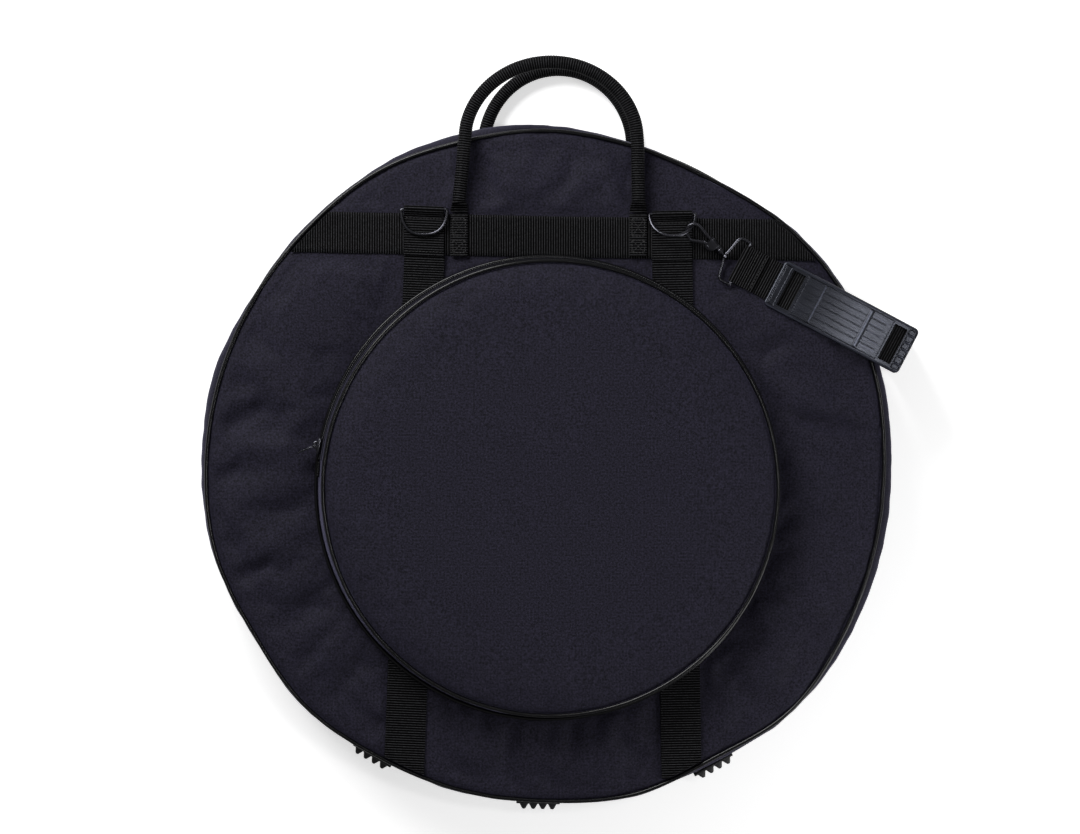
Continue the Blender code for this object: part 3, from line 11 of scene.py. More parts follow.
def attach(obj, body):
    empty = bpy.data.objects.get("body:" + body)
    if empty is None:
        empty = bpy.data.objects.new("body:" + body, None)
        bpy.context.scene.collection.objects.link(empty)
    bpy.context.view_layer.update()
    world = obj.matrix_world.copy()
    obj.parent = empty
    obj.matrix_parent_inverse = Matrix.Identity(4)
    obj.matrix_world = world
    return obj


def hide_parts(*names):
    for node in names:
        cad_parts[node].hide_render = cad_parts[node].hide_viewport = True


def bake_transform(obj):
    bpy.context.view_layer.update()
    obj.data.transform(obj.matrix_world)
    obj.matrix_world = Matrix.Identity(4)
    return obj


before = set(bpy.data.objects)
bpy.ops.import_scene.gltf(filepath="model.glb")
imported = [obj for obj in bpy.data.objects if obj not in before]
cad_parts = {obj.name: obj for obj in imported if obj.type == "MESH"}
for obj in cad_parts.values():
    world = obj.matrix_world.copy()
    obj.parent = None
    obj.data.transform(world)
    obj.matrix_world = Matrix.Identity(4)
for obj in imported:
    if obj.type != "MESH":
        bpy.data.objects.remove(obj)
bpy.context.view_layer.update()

bl_info = {
    "name": "Cymbal Bag",
    "version": (1, 0, 0),
    "blender": (4, 5, 0),
    "location": "3D View > Sidebar > Cymbal Bag",
    "description": "Makes the cloth, webbing, zips and hardware of a round cymbal bag",
    "category": "Add Mesh",
}

TURN = 2.0 * pi
UP = Vector((0.0, 0.0, 1.0))
RIGHT = Vector((1.0, 0.0, 0.0))
AHEAD = Vector((0.0, 1.0, 0.0))
MM = 0.001


def linear(code):
    """Linear colour from an sRGB hex value."""
    shares = [int(code[k:k + 2], 16) / 255.0 for k in (1, 3, 5)]
    return tuple(c / 12.92 if c <= 0.04045 else ((c + 0.055) / 1.055) ** 2.4 for c in shares)


# Bag outline from the front: radius at every 15 degrees from +X, as shares of BODY_RADIUS.
BODY_RADIUS = 0.319
OUTLINE = (
    1.004, 1.010, 1.008, 0.990, 0.964, 0.969, 0.988, 0.997,
    0.995, 0.988, 0.990, 1.007, 1.007, 1.007, 0.991, 1.000,
    0.990, 0.988, 0.988, 1.000, 1.003, 1.017, 1.015, 1.009,
)
# Distance in mm from the bag's widest edge, as seen from the front, in to the piping of the front seam.
PIPING_GAPS = (
    7.0, 6.0, 3.6, 1.7, 1.7, 2.0, 4.6, 7.4,
    2.8, 2.3, 2.8, 7.0, 4.6, 2.3, 1.8, 1.8,
    2.6, 2.4, 2.8, 2.3, 6.5, 2.8, 6.5, 7.9,
)
REAR_TUCK = 0.009
ZIP_CENTRE = Vector((-0.002, -0.005, 0.0))
ZIP_RADIUS = 0.312
SEAM_Z = 0.058
ZIP_FROM, ZIP_TO = radians(-25.0), radians(205.0)
ZIP_BLEND = radians(12.0)
POCKET = Vector((0.0032, -0.021, 0.0))
POCKET_WALL = 0.211
POCKET_ZIP_FROM, POCKET_ZIP_TO = radians(7.0), radians(173.0)
POCKET_SEAM_Z = 0.104
FACE_RADIUS = 0.2068
FACE_UNDER = 0.1171
FRONT_TOP = 0.088
FRONT_UNDER = 0.079
PIPING_OUT = 0.0022
SEWN_OUT = 0.0012
FOOT_DEGREES = (239.0, 268.5, 299.0)
FOOT_Z = 0.0375
WEBBING_WIDTH = 0.038
STRAP_THICKNESS = 0.0017
STITCH, STRAP_STITCH = 0.0030, 0.0032
CLOTH_VOXEL = 0.005
CLOTH_FRAMES = 20


class BagSizes(bpy.types.PropertyGroup):
    """Sizes a user would change."""

    rib_pitch: FloatProperty(name="Rib pitch", description="Distance between the ribs of the webbing",
                             default=0.0023, min=0.001, max=0.006, unit="LENGTH")
    rib_height: FloatProperty(name="Rib height", description="How far a rib of the webbing stands up",
                              default=0.00028, min=0.0, max=0.001, unit="LENGTH")
    fold_depth: FloatProperty(name="Fold depth", description="Depth of the deepest folds in the front cloth",
                              default=0.0042, min=0.0, max=0.01, unit="LENGTH")
    coil_pitch: FloatProperty(name="Coil pitch", description="Distance between the turns of a zip's coil",
                              default=0.0022, min=0.001, max=0.005, unit="LENGTH")


class BagColours(bpy.types.PropertyGroup):
    """Colours a user would change."""

    cloth: FloatVectorProperty(name="Cloth", description="Padded cloth of the bag", subtype="COLOR",
                               default=linear("#22202d"), min=0.0, max=1.0)
    webbing: FloatVectorProperty(name="Webbing", description="Ribbed webbing", subtype="COLOR",
                                 default=linear("#0c0c0d"), min=0.0, max=1.0)
    piping: FloatVectorProperty(name="Piping", description="Piping in the seams", subtype="COLOR",
                                default=linear("#08080a"), min=0.0, max=1.0)
    metal: FloatVectorProperty(name="Metal", description="Black nickel of hooks, rings and sliders",
                               subtype="COLOR", default=linear("#4c4c52"), min=0.0, max=1.0)
    pad: FloatVectorProperty(name="Pad", description="Moulded shoulder pad", subtype="COLOR",
                             default=linear("#131419"), min=0.0, max=1.0)


def sizes():
    """Sizes that the panel shows."""
    return bpy.context.scene.bag_sizes


def smooth(t):
    """Ease from 0 to 1 with flat ends."""
    t = min(1.0, max(0.0, t))
    return t * t * (3.0 - 2.0 * t)


def mix(a, b, t):
    """Value at a share of the way from a to b."""
    return a + (b - a) * t


def spline(a, b, c, d, t):
    """Point or value at a share of the way from b to c, on a smooth curve through all four."""
    return 0.5 * (2.0 * b + (c - a) * t + (2.0 * a - 5.0 * b + 4.0 * c - d) * t * t
                  + (3.0 * b - a - 3.0 * c + d) * t * t * t)


def bell(t):
    """Bell curve, 1 at its middle."""
    return 2.718 ** (-t * t)


def signed(value, power):
    """Power of a value that keeps its sign."""
    return abs(value) ** power * (1.0 if value >= 0.0 else -1.0)


def rib_at(distance, pitch):
    """Height of the webbing's ribs at a distance along it, from 0 between them to 1."""
    return abs(sin(pi * distance / pitch)) ** 0.7


def outward(angle):
    """Directions out from a centre and round it."""
    out = Vector((cos(angle), sin(angle), 0.0))
    return out, Vector((-out.y, out.x, 0.0))


def verts_in(parts):
    """Vertices among the parts that an operator gives back."""
    return [item for item in parts if isinstance(item, bmesh.types.BMVert)]


def read_shares(table, angle):
    """Value of a closed table on a smooth curve through its entries."""
    place = (angle % TURN) / TURN * len(table)
    k = int(place)
    return spline(*(table[(k + j) % len(table)] for j in (-1, 0, 1, 2)), place - k)


def outline(angle):
    """Widest radius of the bag."""
    return BODY_RADIUS * read_shares(OUTLINE, angle)


def front_edge(angle):
    """Radius of the front panel's sewn edge."""
    return outline(angle) - read_shares(PIPING_GAPS, angle) * MM - 0.0026


def rear_edge(angle):
    """Radius of the back panel's sewn edge."""
    return outline(angle) - REAR_TUCK


def seam_radius(angle):
    """Radius of the opening seam."""
    along = ZIP_CENTRE.x * cos(angle) + ZIP_CENTRE.y * sin(angle)
    across = ZIP_CENTRE.x * sin(angle) - ZIP_CENTRE.y * cos(angle)
    circle = along + sqrt(ZIP_RADIUS * ZIP_RADIUS - across * across)
    turned = (angle - ZIP_FROM) % TURN
    span = ZIP_TO - ZIP_FROM
    beyond = 0.0 if turned <= span else min(turned - span, TURN - turned)
    plain = outline(angle) - 0.0015
    return mix(min(circle, plain + 0.0015), plain, smooth(beyond / ZIP_BLEND))


def polar(centre, radius, angle, z):
    """Point round a centre."""
    return Vector((centre.x + radius * cos(angle), centre.y + radius * sin(angle), z))


def curve_through(points, steps):
    """Points on a smooth curve through the given ones."""
    last = len(points) - 1
    out = []
    for k in range(last):
        near = points[max(0, k - 1)], points[k], points[k + 1], points[min(last, k + 2)]
        out += [spline(*near, j / steps) for j in range(steps)]
    return out + [points[-1].copy()]


def even(points, gap):
    """The same path with points at equal distances of about gap, and its length."""
    lengths = [0.0]
    for a, b in zip(points[:-1], points[1:]):
        lengths.append(lengths[-1] + (b - a).length)
    total = lengths[-1]
    count = max(2, round(total / gap))
    out, k = [], 0
    for j in range(count + 1):
        want = total * j / count
        while k < len(lengths) - 2 and lengths[k + 1] < want:
            k += 1
        span = lengths[k + 1] - lengths[k]
        out.append(points[k].lerp(points[k + 1], (want - lengths[k]) / span if span else 0.0))
    return out, total


def skin(columns, rows, place, width=1.0, length=1.0, loop_u=False, loop_v=False, cap=False):
    """Grid laid over place(u, v), with a UV map in metres; loops are welded and open ends can be capped."""
    made = bmesh.new()
    uv = made.loops.layers.uv.new("UVMap")
    bmesh.ops.create_grid(made, x_segments=columns, y_segments=rows, size=0.5, calc_uvs=True)
    for face in made.faces:
        for corner in face.loops:
            corner[uv].uv = ((corner.vert.co.x + 0.5) * width, (corner.vert.co.y + 0.5) * length)
    for vert in made.verts:
        vert.co = place(vert.co.x + 0.5, vert.co.y + 0.5)
    if loop_u or loop_v:
        bmesh.ops.remove_doubles(made, verts=made.verts, dist=1e-7)
    if cap:
        bmesh.ops.holes_fill(made, edges=[e for e in made.edges if e.is_boundary], sides=0)
    bmesh.ops.recalc_face_normals(made, faces=made.faces)
    return made


def into(target, source):
    """Add one bmesh to another and free it."""
    held = bpy.data.meshes.new("held")
    source.to_mesh(held)
    source.free()
    target.from_mesh(held)
    bpy.data.meshes.remove(held)


def piece(name, made, finish, body, *nodes, sharp=50.0):
    """Make a finished piece that rides on a body and stands for CAD nodes."""
    mesh = bpy.data.meshes.new(name)
    made.to_mesh(mesh)
    made.free()
    mesh.shade_smooth()
    if sharp:
        mesh.set_sharp_from_angle(angle=radians(sharp))
    mesh.materials.append(finish)
    thing = bpy.data.objects.new(name, mesh)
    bpy.context.scene.collection.objects.link(thing)
    if body:
        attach(thing, body)
    if nodes:
        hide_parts(*nodes)
    return thing


def settle(thing):
    """Apply a piece's modifiers to its mesh."""
    depsgraph = bpy.context.evaluated_depsgraph_get()
    shaped = bpy.data.meshes.new_from_object(thing.evaluated_get(depsgraph))
    thing.modifiers.clear()
    old = thing.data
    thing.data = shaped
    bpy.data.meshes.remove(old)


def relax(thing, held, spare, limit):
    """Puff a padded cover by a short cloth simulation of an even copy; held tells what is sewn down."""
    scene = bpy.context.scene
    trial = bpy.data.objects.new("trial", thing.data.copy())
    scene.collection.objects.link(trial)
    evened = trial.modifiers.new("even", "REMESH")
    evened.mode = "VOXEL"
    evened.voxel_size = CLOTH_VOXEL
    settle(trial)
    start = [vert.co.copy() for vert in trial.data.vertices]
    group = trial.vertex_groups.new(name="held")
    for vert in trial.data.vertices:
        group.add([vert.index], held(vert.co), "REPLACE")
    cloth = trial.modifiers.new("cloth", "CLOTH")
    cloth.settings.quality = 4
    cloth.settings.mass = 0.2
    cloth.settings.tension_stiffness = 20.0
    cloth.settings.compression_stiffness = 20.0
    cloth.settings.shear_stiffness = 8.0
    cloth.settings.bending_stiffness = 1.5
    cloth.settings.use_pressure = True
    cloth.settings.uniform_pressure_force = 4.0
    cloth.settings.effector_weights.gravity = 0.0
    cloth.settings.vertex_group_mass = "held"
    cloth.settings.shrink_min = -spare
    cloth.collision_settings.use_collision = False
    for frame_number in range(1, CLOTH_FRAMES + 1):
        scene.frame_set(frame_number)
    settle(trial)
    moves = [vert.co - before for vert, before in zip(trial.data.vertices, start)]
    tree = KDTree(len(start))
    for k, before in enumerate(start):
        tree.insert(before, k)
    tree.balance()
    for vert in thing.data.vertices:
        free = 1.0 - held(vert.co)
        if free <= 0.0:
            continue
        move, total = Vector(), 0.0
        for _place, k, gap in tree.find_n(vert.co, 8):
            if abs(start[k].z - vert.co.z) < 0.003:
                weight = 1.0 / (gap * gap + CLOTH_VOXEL * CLOTH_VOXEL * 0.2)
                move += moves[k] * weight
                total += weight
        if total:
            move *= free / total
            vert.co += move * min(1.0, limit / max(move.length, 1e-9))
    shaped = trial.data
    bpy.data.objects.remove(trial)
    bpy.data.meshes.remove(shaped)
    scene.frame_set(1)


def rod(points, radius, around, gap, closed=False, flat=1.0, up=None):
    """Round or oval bar along a path."""
    line, total = even(points, gap)
    if closed:
        line = line[:-1]
    count = len(line)
    frames = []
    side = None
    for k in range(count):
        if closed:
            way = (line[(k + 1) % count] - line[k - 1]).normalized()
        else:
            way = (line[min(count - 1, k + 1)] - line[max(0, k - 1)]).normalized()
        if up is not None:
            side = way.cross(up).normalized()
        elif side is None:
            side = way.orthogonal().normalized()
        else:
            side = (side - way * side.dot(way)).normalized()
        frames.append((side, side.cross(way)))
    rows = count if closed else count - 1

    def place(u, v):
        k = round(v * rows) % count
        side_way, lift_way = frames[k]
        angle = u * TURN
        return line[k] + side_way * radius * cos(angle) + lift_way * radius * flat * sin(angle)
    return skin(around, rows, place, TURN * radius, total, True, closed, not closed)


def webbing(points, side, width, thickness):
    """Woven strap with ribs across it, swept along a path whose width stays along side."""
    pitch, height = sizes().rib_pitch, sizes().rib_height
    line, total = even(points, pitch / 5.0)
    rows = len(line) - 1
    side = Vector(side).normalized()
    half = thickness / 2.0
    columns = 24
    edge = min(0.3, 2.2 * half / width)

    def section(u):
        """Place across, place through and how much of the rib shows, round a flat strap."""
        turn = u % 1.0
        if turn < 0.5 - edge:
            across, through = mix(-0.5, 0.5, turn / (0.5 - edge)), 1.0
        elif turn < 0.5:
            angle = pi * (turn - 0.5 + edge) / edge
            return 0.5, cos(angle), sin(angle)
        elif turn < 1.0 - edge:
            across, through = mix(0.5, -0.5, (turn - 0.5) / (0.5 - edge)), -1.0
        else:
            angle = pi * (turn - 1.0 + edge) / edge
            return -0.5, -cos(angle), -sin(angle)
        return across, through, 0.0

    normals = []
    for k in range(len(line)):
        way = (line[min(rows, k + 1)] - line[max(0, k - 1)]).normalized()
        normals.append(way.cross(side).normalized())

    def place(u, v):
        k = round(v * rows)
        across, through, out = section(u)
        shy = height * (1.0 - rib_at(v * total, pitch))
        point = line[k] + side * (across * (width - thickness) + out * half * 1.2)
        return point + normals[k] * through * (half - shy)
    return skin(columns, rows, place, 2.0 * width, total, True, False, True)


def boxed(size, matrix, bevel=0.0, segments=2):
    """Block with rounded edges, placed by a matrix."""
    made = bmesh.new()
    bmesh.ops.create_cube(made, size=1.0, matrix=Matrix.Diagonal((*size, 1.0)))
    if bevel:
        bmesh.ops.bevel(made, geom=made.edges[:], offset=bevel, segments=segments, profile=0.5,
                        affect="EDGES", material=-1)
    bmesh.ops.transform(made, matrix=matrix, verts=made.verts)
    return made


def axes(origin, u, v):
    """Matrix whose first two axes are u and v."""
    u = Vector(u).normalized()
    v = Vector(v).normalized()
    matrix = Matrix((u, v, u.cross(v))).transposed().to_4x4()
    matrix.translation = Vector(origin)
    return matrix


def stitches(lines, pitch):
    """Rows of raised stitches; each line is a path with the normal of what it lies on."""
    made = bmesh.new()
    for points, normal in lines:
        line, _total = even(points, pitch)
        for a, b in zip(line[:-1], line[1:]):
            way = (b - a).normalized()
            seat = axes(a.lerp(b, 0.5), way, normal.cross(way))
            into(made, boxed((pitch * 0.72, 0.00075, 0.0005), seat, 0.0002, 1))
    return made


def add(tree, kind, inputs=None, **settings):
    """Add a node; inputs holds values, or sockets to link."""
    node = tree.nodes.new(kind)
    for name, value in settings.items():
        setattr(node, name, value)
    for name, value in (inputs or {}).items():
        socket = node.inputs[name]
        if isinstance(value, bpy.types.NodeSocket):
            tree.links.new(value, socket)
        else:
            socket.default_value = value
    return node


def finish_of(name, colour, roughness, metallic=0.0, **sockets):
    """Start a material: its tree and its shader."""
    made = bpy.data.materials.new(name)
    made.use_nodes = True
    shader = made.node_tree.nodes["Principled BSDF"]
    shader.inputs["Base Color"].default_value = (*colour, 1.0)
    shader.inputs["Roughness"].default_value = roughness
    shader.inputs["Metallic"].default_value = metallic
    for key, value in sockets.items():
        shader.inputs[key.replace("_", " ")].default_value = value
    return made, made.node_tree, shader


def ranged(tree, value, low, high, near=0.0, far=1.0):
    """Socket with a value carried from one range into another."""
    return add(tree, "ShaderNodeMapRange", {"Value": value, "From Min": near, "From Max": far,
                                            "To Min": low, "To Max": high}).outputs[0]


def sums(tree, operation, *values):
    """Socket with the result of a sum."""
    return add(tree, "ShaderNodeMath", dict(enumerate(values)), operation=operation).outputs[0]


def speckle(tree, place, size, detail):
    """Socket with noise in patches of about a size."""
    settings = {"Vector": place, "Scale": 1.0 / size, "Detail": detail}
    return add(tree, "ShaderNodeTexNoise", settings).outputs["Fac"]


def dress(tree, shader, height, strength, depth, colour=None, light=None):
    """Link a shaded colour, if there is one, and a bump to the shader."""
    if light is not None:
        tint = add(tree, "ShaderNodeVectorMath", {0: colour, "Scale": light}, operation="SCALE")
        tree.links.new(tint.outputs[0], shader.inputs["Base Color"])
    bump = add(tree, "ShaderNodeBump", {"Height": height, "Strength": strength, "Distance": depth})
    tree.links.new(bump.outputs[0], shader.inputs["Normal"])


def woven(name, colour, thread, coordinates, roughness, height, sheen, mottling):
    """Plain-woven cloth: two crossed sets of threads, with slow changes of shade."""
    made, tree, shader = finish_of(name, colour, roughness, Sheen_Weight=sheen, Sheen_Roughness=0.45,
                                   Specular_IOR_Level=0.14)
    shader.inputs["Sheen Tint"].default_value = (0.66, 0.64, 1.0, 1.0)
    place = add(tree, "ShaderNodeTexCoord").outputs[coordinates]
    wave = {"Vector": place, "Scale": pi / (10.0 * thread), "Distortion": 0.4, "Detail": 1.0,
            "Detail Scale": 2.0}
    waves = [add(tree, "ShaderNodeTexWave", wave, bands_direction=axis).outputs["Fac"] for axis in ("X", "Y")]
    weave = sums(tree, "MULTIPLY", *waves)
    shade = ranged(tree, speckle(tree, place, 0.035, 3.0), 1.0 - mottling, 1.0 + mottling)
    thread_shade = ranged(tree, weave, 0.62, 1.45)
    flecks = ranged(tree, speckle(tree, place, 0.0017, 2.0), 0.25, 1.75, 0.3, 0.7)
    light = sums(tree, "MULTIPLY", sums(tree, "MULTIPLY", shade, thread_shade), flecks)
    dress(tree, shader, weave, 0.55, height, colour, light)
    return made


def ribbed(name, colour):
    """Ribbed webbing: painted shade makes it black between the ribs and a painted highlight lightens the top
    of each.
    """
    made, tree, shader = finish_of(name, colour, 0.50, Sheen_Weight=0.0, Specular_IOR_Level=0.04)
    place = add(tree, "ShaderNodeTexCoord").outputs["UV"]
    parts = add(tree, "ShaderNodeSeparateXYZ", {0: place})
    wave = sums(tree, "SINE", sums(tree, "MULTIPLY", parts.outputs[1], pi / sizes().rib_pitch))
    # Painted highlight on the top of each rib.
    rib_highlight = sums(tree, "POWER", sums(tree, "ABSOLUTE", wave), 12.0)
    across = sums(tree, "SINE", sums(tree, "MULTIPLY", parts.outputs[0], TURN / 0.0013))
    speck = speckle(tree, place, 0.0016, 2.0)
    low = ranged(tree, across, 0.75, 1.0, -1.0)
    uneven = ranged(tree, speck, 0.45, 1.35, 0.3, 0.7)
    light = sums(tree, "MULTIPLY", rib_highlight, sums(tree, "MULTIPLY", low, uneven))
    # The colour runs from painted shade between the ribs to a painted highlight on their tops.
    dress(tree, shader, light, 0.5, 0.0003, colour, ranged(tree, light, 0.10, 15.0))
    return made


def grained(name, colour, roughness, grain, height, metallic=0.0, spread=0.08, **sockets):
    """Moulded, cast or plated surface: fine grain and uneven gloss."""
    made, tree, shader = finish_of(name, colour, roughness, metallic, **sockets)
    place = add(tree, "ShaderNodeTexCoord").outputs["Object"]
    fine = speckle(tree, place, grain, 4.0)
    gloss = ranged(tree, speckle(tree, place, 0.012, 2.0), roughness - spread, roughness + spread)
    tree.links.new(gloss, shader.inputs["Roughness"])
    dress(tree, shader, fine, 0.4, height)
    return made


FINISHES = {}


def finish(name):
    """Material by its common name, made when it is first wanted."""
    if name in FINISHES:
        return FINISHES[name]
    tones = bpy.context.scene.bag_colours
    if name == "polyester oxford":
        # Coated polyester cloth: dull, nearly black, with a faint cool bloom where light grazes it.
        # Its 0.5 mm threads are drawn at 1.3 mm so that they show.
        made = woven(name, tuple(tones.cloth), 0.0013, "Object", 0.72, 0.00022, 0.22, 0.10)
    elif name == "polyester oxford wall":
        # The same cloth on an upright wall, so its threads follow the wall.
        made = woven(name, tuple(tones.cloth), 0.0013, "UV", 0.72, 0.00022, 0.22, 0.10)
    elif name == "polypropylene webbing":
        # Heavy woven tape: painted highlights lighten the tops of the modelled ribs and painted shade darkens
        # between them, and the yarn across them is drawn at 1.3 mm.
        made = ribbed(name, tuple(tones.webbing))
    elif name == "vinyl piping":
        # Extruded soft vinyl cord: smooth, with a thin bright line of light along it.
        made = grained(name, tuple(tones.piping), 0.24, 0.0012, 0.00004, Specular_IOR_Level=0.34, spread=0.04)
    elif name == "polyester zip tape":
        # Narrow herringbone tape, duller than the coil beside it.
        made = woven(name, linear("#131315"), 0.0010, "UV", 0.75, 0.00018, 0.12, 0.05)
    elif name == "nylon coil":
        # Drawn nylon filament: small bright spots on each turn.
        made = grained(name, linear("#1d1d20"), 0.34, 0.0008, 0.00003)
    elif name == "black nickel":
        # Electroplated dark steel: mirror-like, faintly cool, with small uneven patches.
        made = grained(name, tuple(tones.metal), 0.27, 0.0009, 0.000015, 1.0, 0.06)
    elif name == "natural rubber":
        # Compression-moulded rubber foot: dense black with a soft dull shine.
        made = grained(name, linear("#151517"), 0.55, 0.0010, 0.00010)
    elif name == "thermoplastic rubber":
        made = moulded_pad(tuple(tones.pad))
    elif name == "bonded thread":
        # Waxed nylon thread: a little brighter than the webbing that it sinks into.
        made = grained(name, linear("#131315"), 0.5, 0.0006, 0.00004)
    else:
        # Brushed tricot lining: soft dark grey without shine.
        made = woven(name, linear("#232327"), 0.0016, "Object", 0.9, 0.0002, 0.3, 0.06)
    FINISHES[name] = made
    return made


def moulded_pad(colour):
    """Glossy blue-black moulded rubber, finely brushed along the pad; a painted highlight lightens its raised
    ribs, ticks and border.
    """
    made, tree, shader = finish_of("thermoplastic rubber", colour, 0.24, Specular_IOR_Level=0.5)
    shader.inputs["Specular Tint"].default_value = (0.80, 0.84, 1.0, 1.0)
    place = add(tree, "ShaderNodeTexCoord").outputs["UV"]
    long = add(tree, "ShaderNodeMapping", {"Vector": place, "Scale": (70.0, 1100.0, 1.0)}).outputs[0]
    brushed = speckle(tree, long, 1.0, 3.0)
    tree.links.new(ranged(tree, brushed, 0.24, 0.29, 0.3, 0.7), shader.inputs["Roughness"])
    patches = ranged(tree, speckle(tree, place, 0.022, 1.0), 0.5, 1.6, 0.35, 0.65)
    # Painted highlight: this attribute lightens the raised ribs, ticks and border of the pad.
    worn = add(tree, "ShaderNodeAttribute", attribute_name="worn").outputs["Fac"]
    highlighted_tone = sums(tree, "MULTIPLY_ADD", worn, 10.0, patches)
    light = sums(tree, "MULTIPLY", highlighted_tone, ranged(tree, brushed, 0.92, 1.1, 0.3, 0.7))
    dress(tree, shader, brushed, 0.02, 0.0001, colour, light)
    return made


def repeat(made, matrices):
    """Copies of a small shape, one for each matrix."""
    source = made.verts[:] + made.edges[:] + made.faces[:]
    first = made.verts[:]
    for matrix in matrices[1:]:
        copy = bmesh.ops.duplicate(made, geom=source)["geom"]
        bmesh.ops.transform(made, matrix=matrix, verts=verts_in(copy))
    bmesh.ops.transform(made, matrix=matrices[0], verts=first)
    return made


def ring_of(section, columns, centre=Vector(), start=None, end=None):
    """Ring whose closed section may change with the angle; an open run gets flat ends."""
    whole = start is None
    low, span = (0.0, TURN) if whole else (start, end - start)
    made_sections = [section(low + span * k / columns) for k in range(columns + (0 if whole else 1))]
    rows = len(made_sections[0])

    def place(u, v):
        k = round(u * columns)
        radius, z = made_sections[k % len(made_sections)][round(v * rows) % rows]
        return polar(centre, radius, low + span * k / columns, z)
    reach = span * made_sections[0][0][0]
    return skin(columns, rows, place, reach, rows * 0.002, whole, True, not whole)


def disc_of(section, columns, centre=Vector()):
    """Closed round shell: its section starts and ends on the axis."""
    made_sections = [section(TURN * k / columns) for k in range(columns)]
    rows = len(made_sections[0]) - 1

    def place(u, v):
        k = round(u * columns) % columns
        radius, z = made_sections[k][round(v * rows)]
        return polar(centre, radius, TURN * k / columns, z)
    return skin(columns, rows, place, TURN * 0.2, 0.6, True, False)


def line_of(corners, steps):
    """Points spread along a run of corners, so many to each side."""
    out = [(mix(a[0], b[0], k / steps), mix(a[1], b[1], k / steps))
           for a, b in zip(corners[:-1], corners[1:]) for k in range(steps)]
    return out + [corners[-1]]


def softened(corners, steps):
    """The same on a smooth curve through the corners."""
    return [(p.x, p.y) for p in curve_through([Vector((r, z, 0.0)) for r, z in corners], steps)]


# Folds in the front cloth, in mm: start, end, half width and depth; a ridge has a negative depth.
FOLDS = (
    (-258, 54, -302, 34, 9, 0.9), (-282, -4, -308, -13, 8, 0.7), (-232, -43, -288, -50, 12, 0.6),
    (-254, -90, -290, -107, 8, 1.0), (-236, 22, -300, 12, 11, -0.5), (-240, -70, -284, -84, 10, -0.4),
    (-206, -124, -262, -150, 12, 0.6), (-186, -156, -228, -206, 9, -0.7), (-168, -176, -206, -226, 9, 0.5),
    (226, 44, 312, 28, 6, 1.0), (175, 104, 218, 131, 9, -0.6), (186, 96, 234, 118, 8, 0.5),
    (226, 66, 296, 46, 12, -0.8), (190, 140, 256, 116, 14, -0.7), (214, 92, 286, 70, 9, 0.6),
    (220, 20, 292, -6, 10, 0.5), (222, -40, 290, -62, 11, 0.5),
    (104, 288, 152, 244, 9, 0.9), (120, 292, 172, 246, 8, -0.5), (70, 262, 96, 292, 8, 0.6),
    (-52, 244, -72, 296, 10, 0.8), (-70, 240, -96, 286, 8, -0.4),
    (-110, -238, -170, -244, 9, 0.6),
    (-150, 180, -206, 206, 11, 0.5), (150, 186, 180, 226, 9, 0.4), (60, -252, 100, -280, 9, 0.4),
    (-30, -250, -40, -292, 9, 0.4), (170, -200, 214, -232, 10, 0.5), (10, 250, 30, 294, 9, 0.35),
)
POCKET_FOLDS = (
    (-14, -140, -18, -206, 7, 0.35), (6, -150, 8, -210, 8, -0.30), (20, -150, 26, -206, 6, 0.25),
    (-120, -120, -60, -170, 16, 0.30), (90, 60, 150, 20, 18, 0.25), (-140, 60, -90, 110, 16, 0.25),
    (30, 120, 80, 150, 18, -0.25), (-180, -10, -140, -60, 14, 0.25),
)


def fold_height(x, y, folds):
    """Rise of the cloth from its folds, in shares of the deepest."""
    rise = 0.0
    for ax, ay, bx, by, half, depth in folds:
        dx, dy = bx - ax, by - ay
        size = dx * dx + dy * dy
        px, py = x - ax, y - ay
        t = (px * dx + py * dy) / size
        if not -0.15 < t < 1.15:
            continue
        away = (px * dy - py * dx) / sqrt(size)
        if abs(away) > 3.0 * half:
            continue
        along = smooth(min(t + 0.15, 1.15 - t) / 0.45)
        near = away / half
        rise -= depth * along * (bell(near) - 0.35 * bell(near - 1.5))
    return rise


def sewn_clear(x, y):
    """Share of a fold that may rise where webbing is sewn down, which holds the cloth flat."""
    clear = smooth((abs(y - 212.0) - 18.0) / 12.0)
    for centre in (-122.0, 119.0):
        clear = min(clear, smooth((abs(x - centre) - 22.0) / 12.0))
    return clear


def front_base(radius):
    """Height of the front cloth without folds."""
    return FRONT_TOP - 0.004 * min(1.0, max(0.0, (radius - 0.242) / 0.055))


def front_cloth_height(angle, radius, edge):
    """Front cloth with its folds, its slow swells and the puckers along its seam."""
    x, y = radius * cos(angle), radius * sin(angle)
    wx, wy = x / MM, y / MM
    deep = sizes().fold_depth
    clear = sewn_clear(wx, wy)
    z = front_base(radius)
    outer = smooth((radius - 0.212) / 0.02)
    rise = fold_height(wx, wy, FOLDS) * deep * 1.15 + noise.noise(Vector((x, y, 0.3)) * 17.0) * 0.0016
    rise += noise.noise(Vector((x, y, 1.7)) * 46.0) * 0.00045
    gap = edge - radius
    pucker = noise.noise(Vector((cos(angle) * 21.0, sin(angle) * 21.0, 0.0))) * smooth(1.0 - gap / 0.02)
    rise += pucker * 0.0009
    z += max(-0.0046, min(0.0030, rise)) * outer * (0.12 + 0.88 * clear)
    z += 0.0014 * clear * outer * sin(pi * min(1.0, max(0.0, (radius - 0.212) / (edge - 0.212))))
    return z - 0.0014 * (1.0 - smooth(gap / 0.0045)) - 0.0014 * (1.0 - min(1.0, gap / 0.018)) ** 2


def back_rise(radius):
    """Height of the back above its flat middle."""
    return 0.018 * smooth((radius - 0.140) / 0.145)


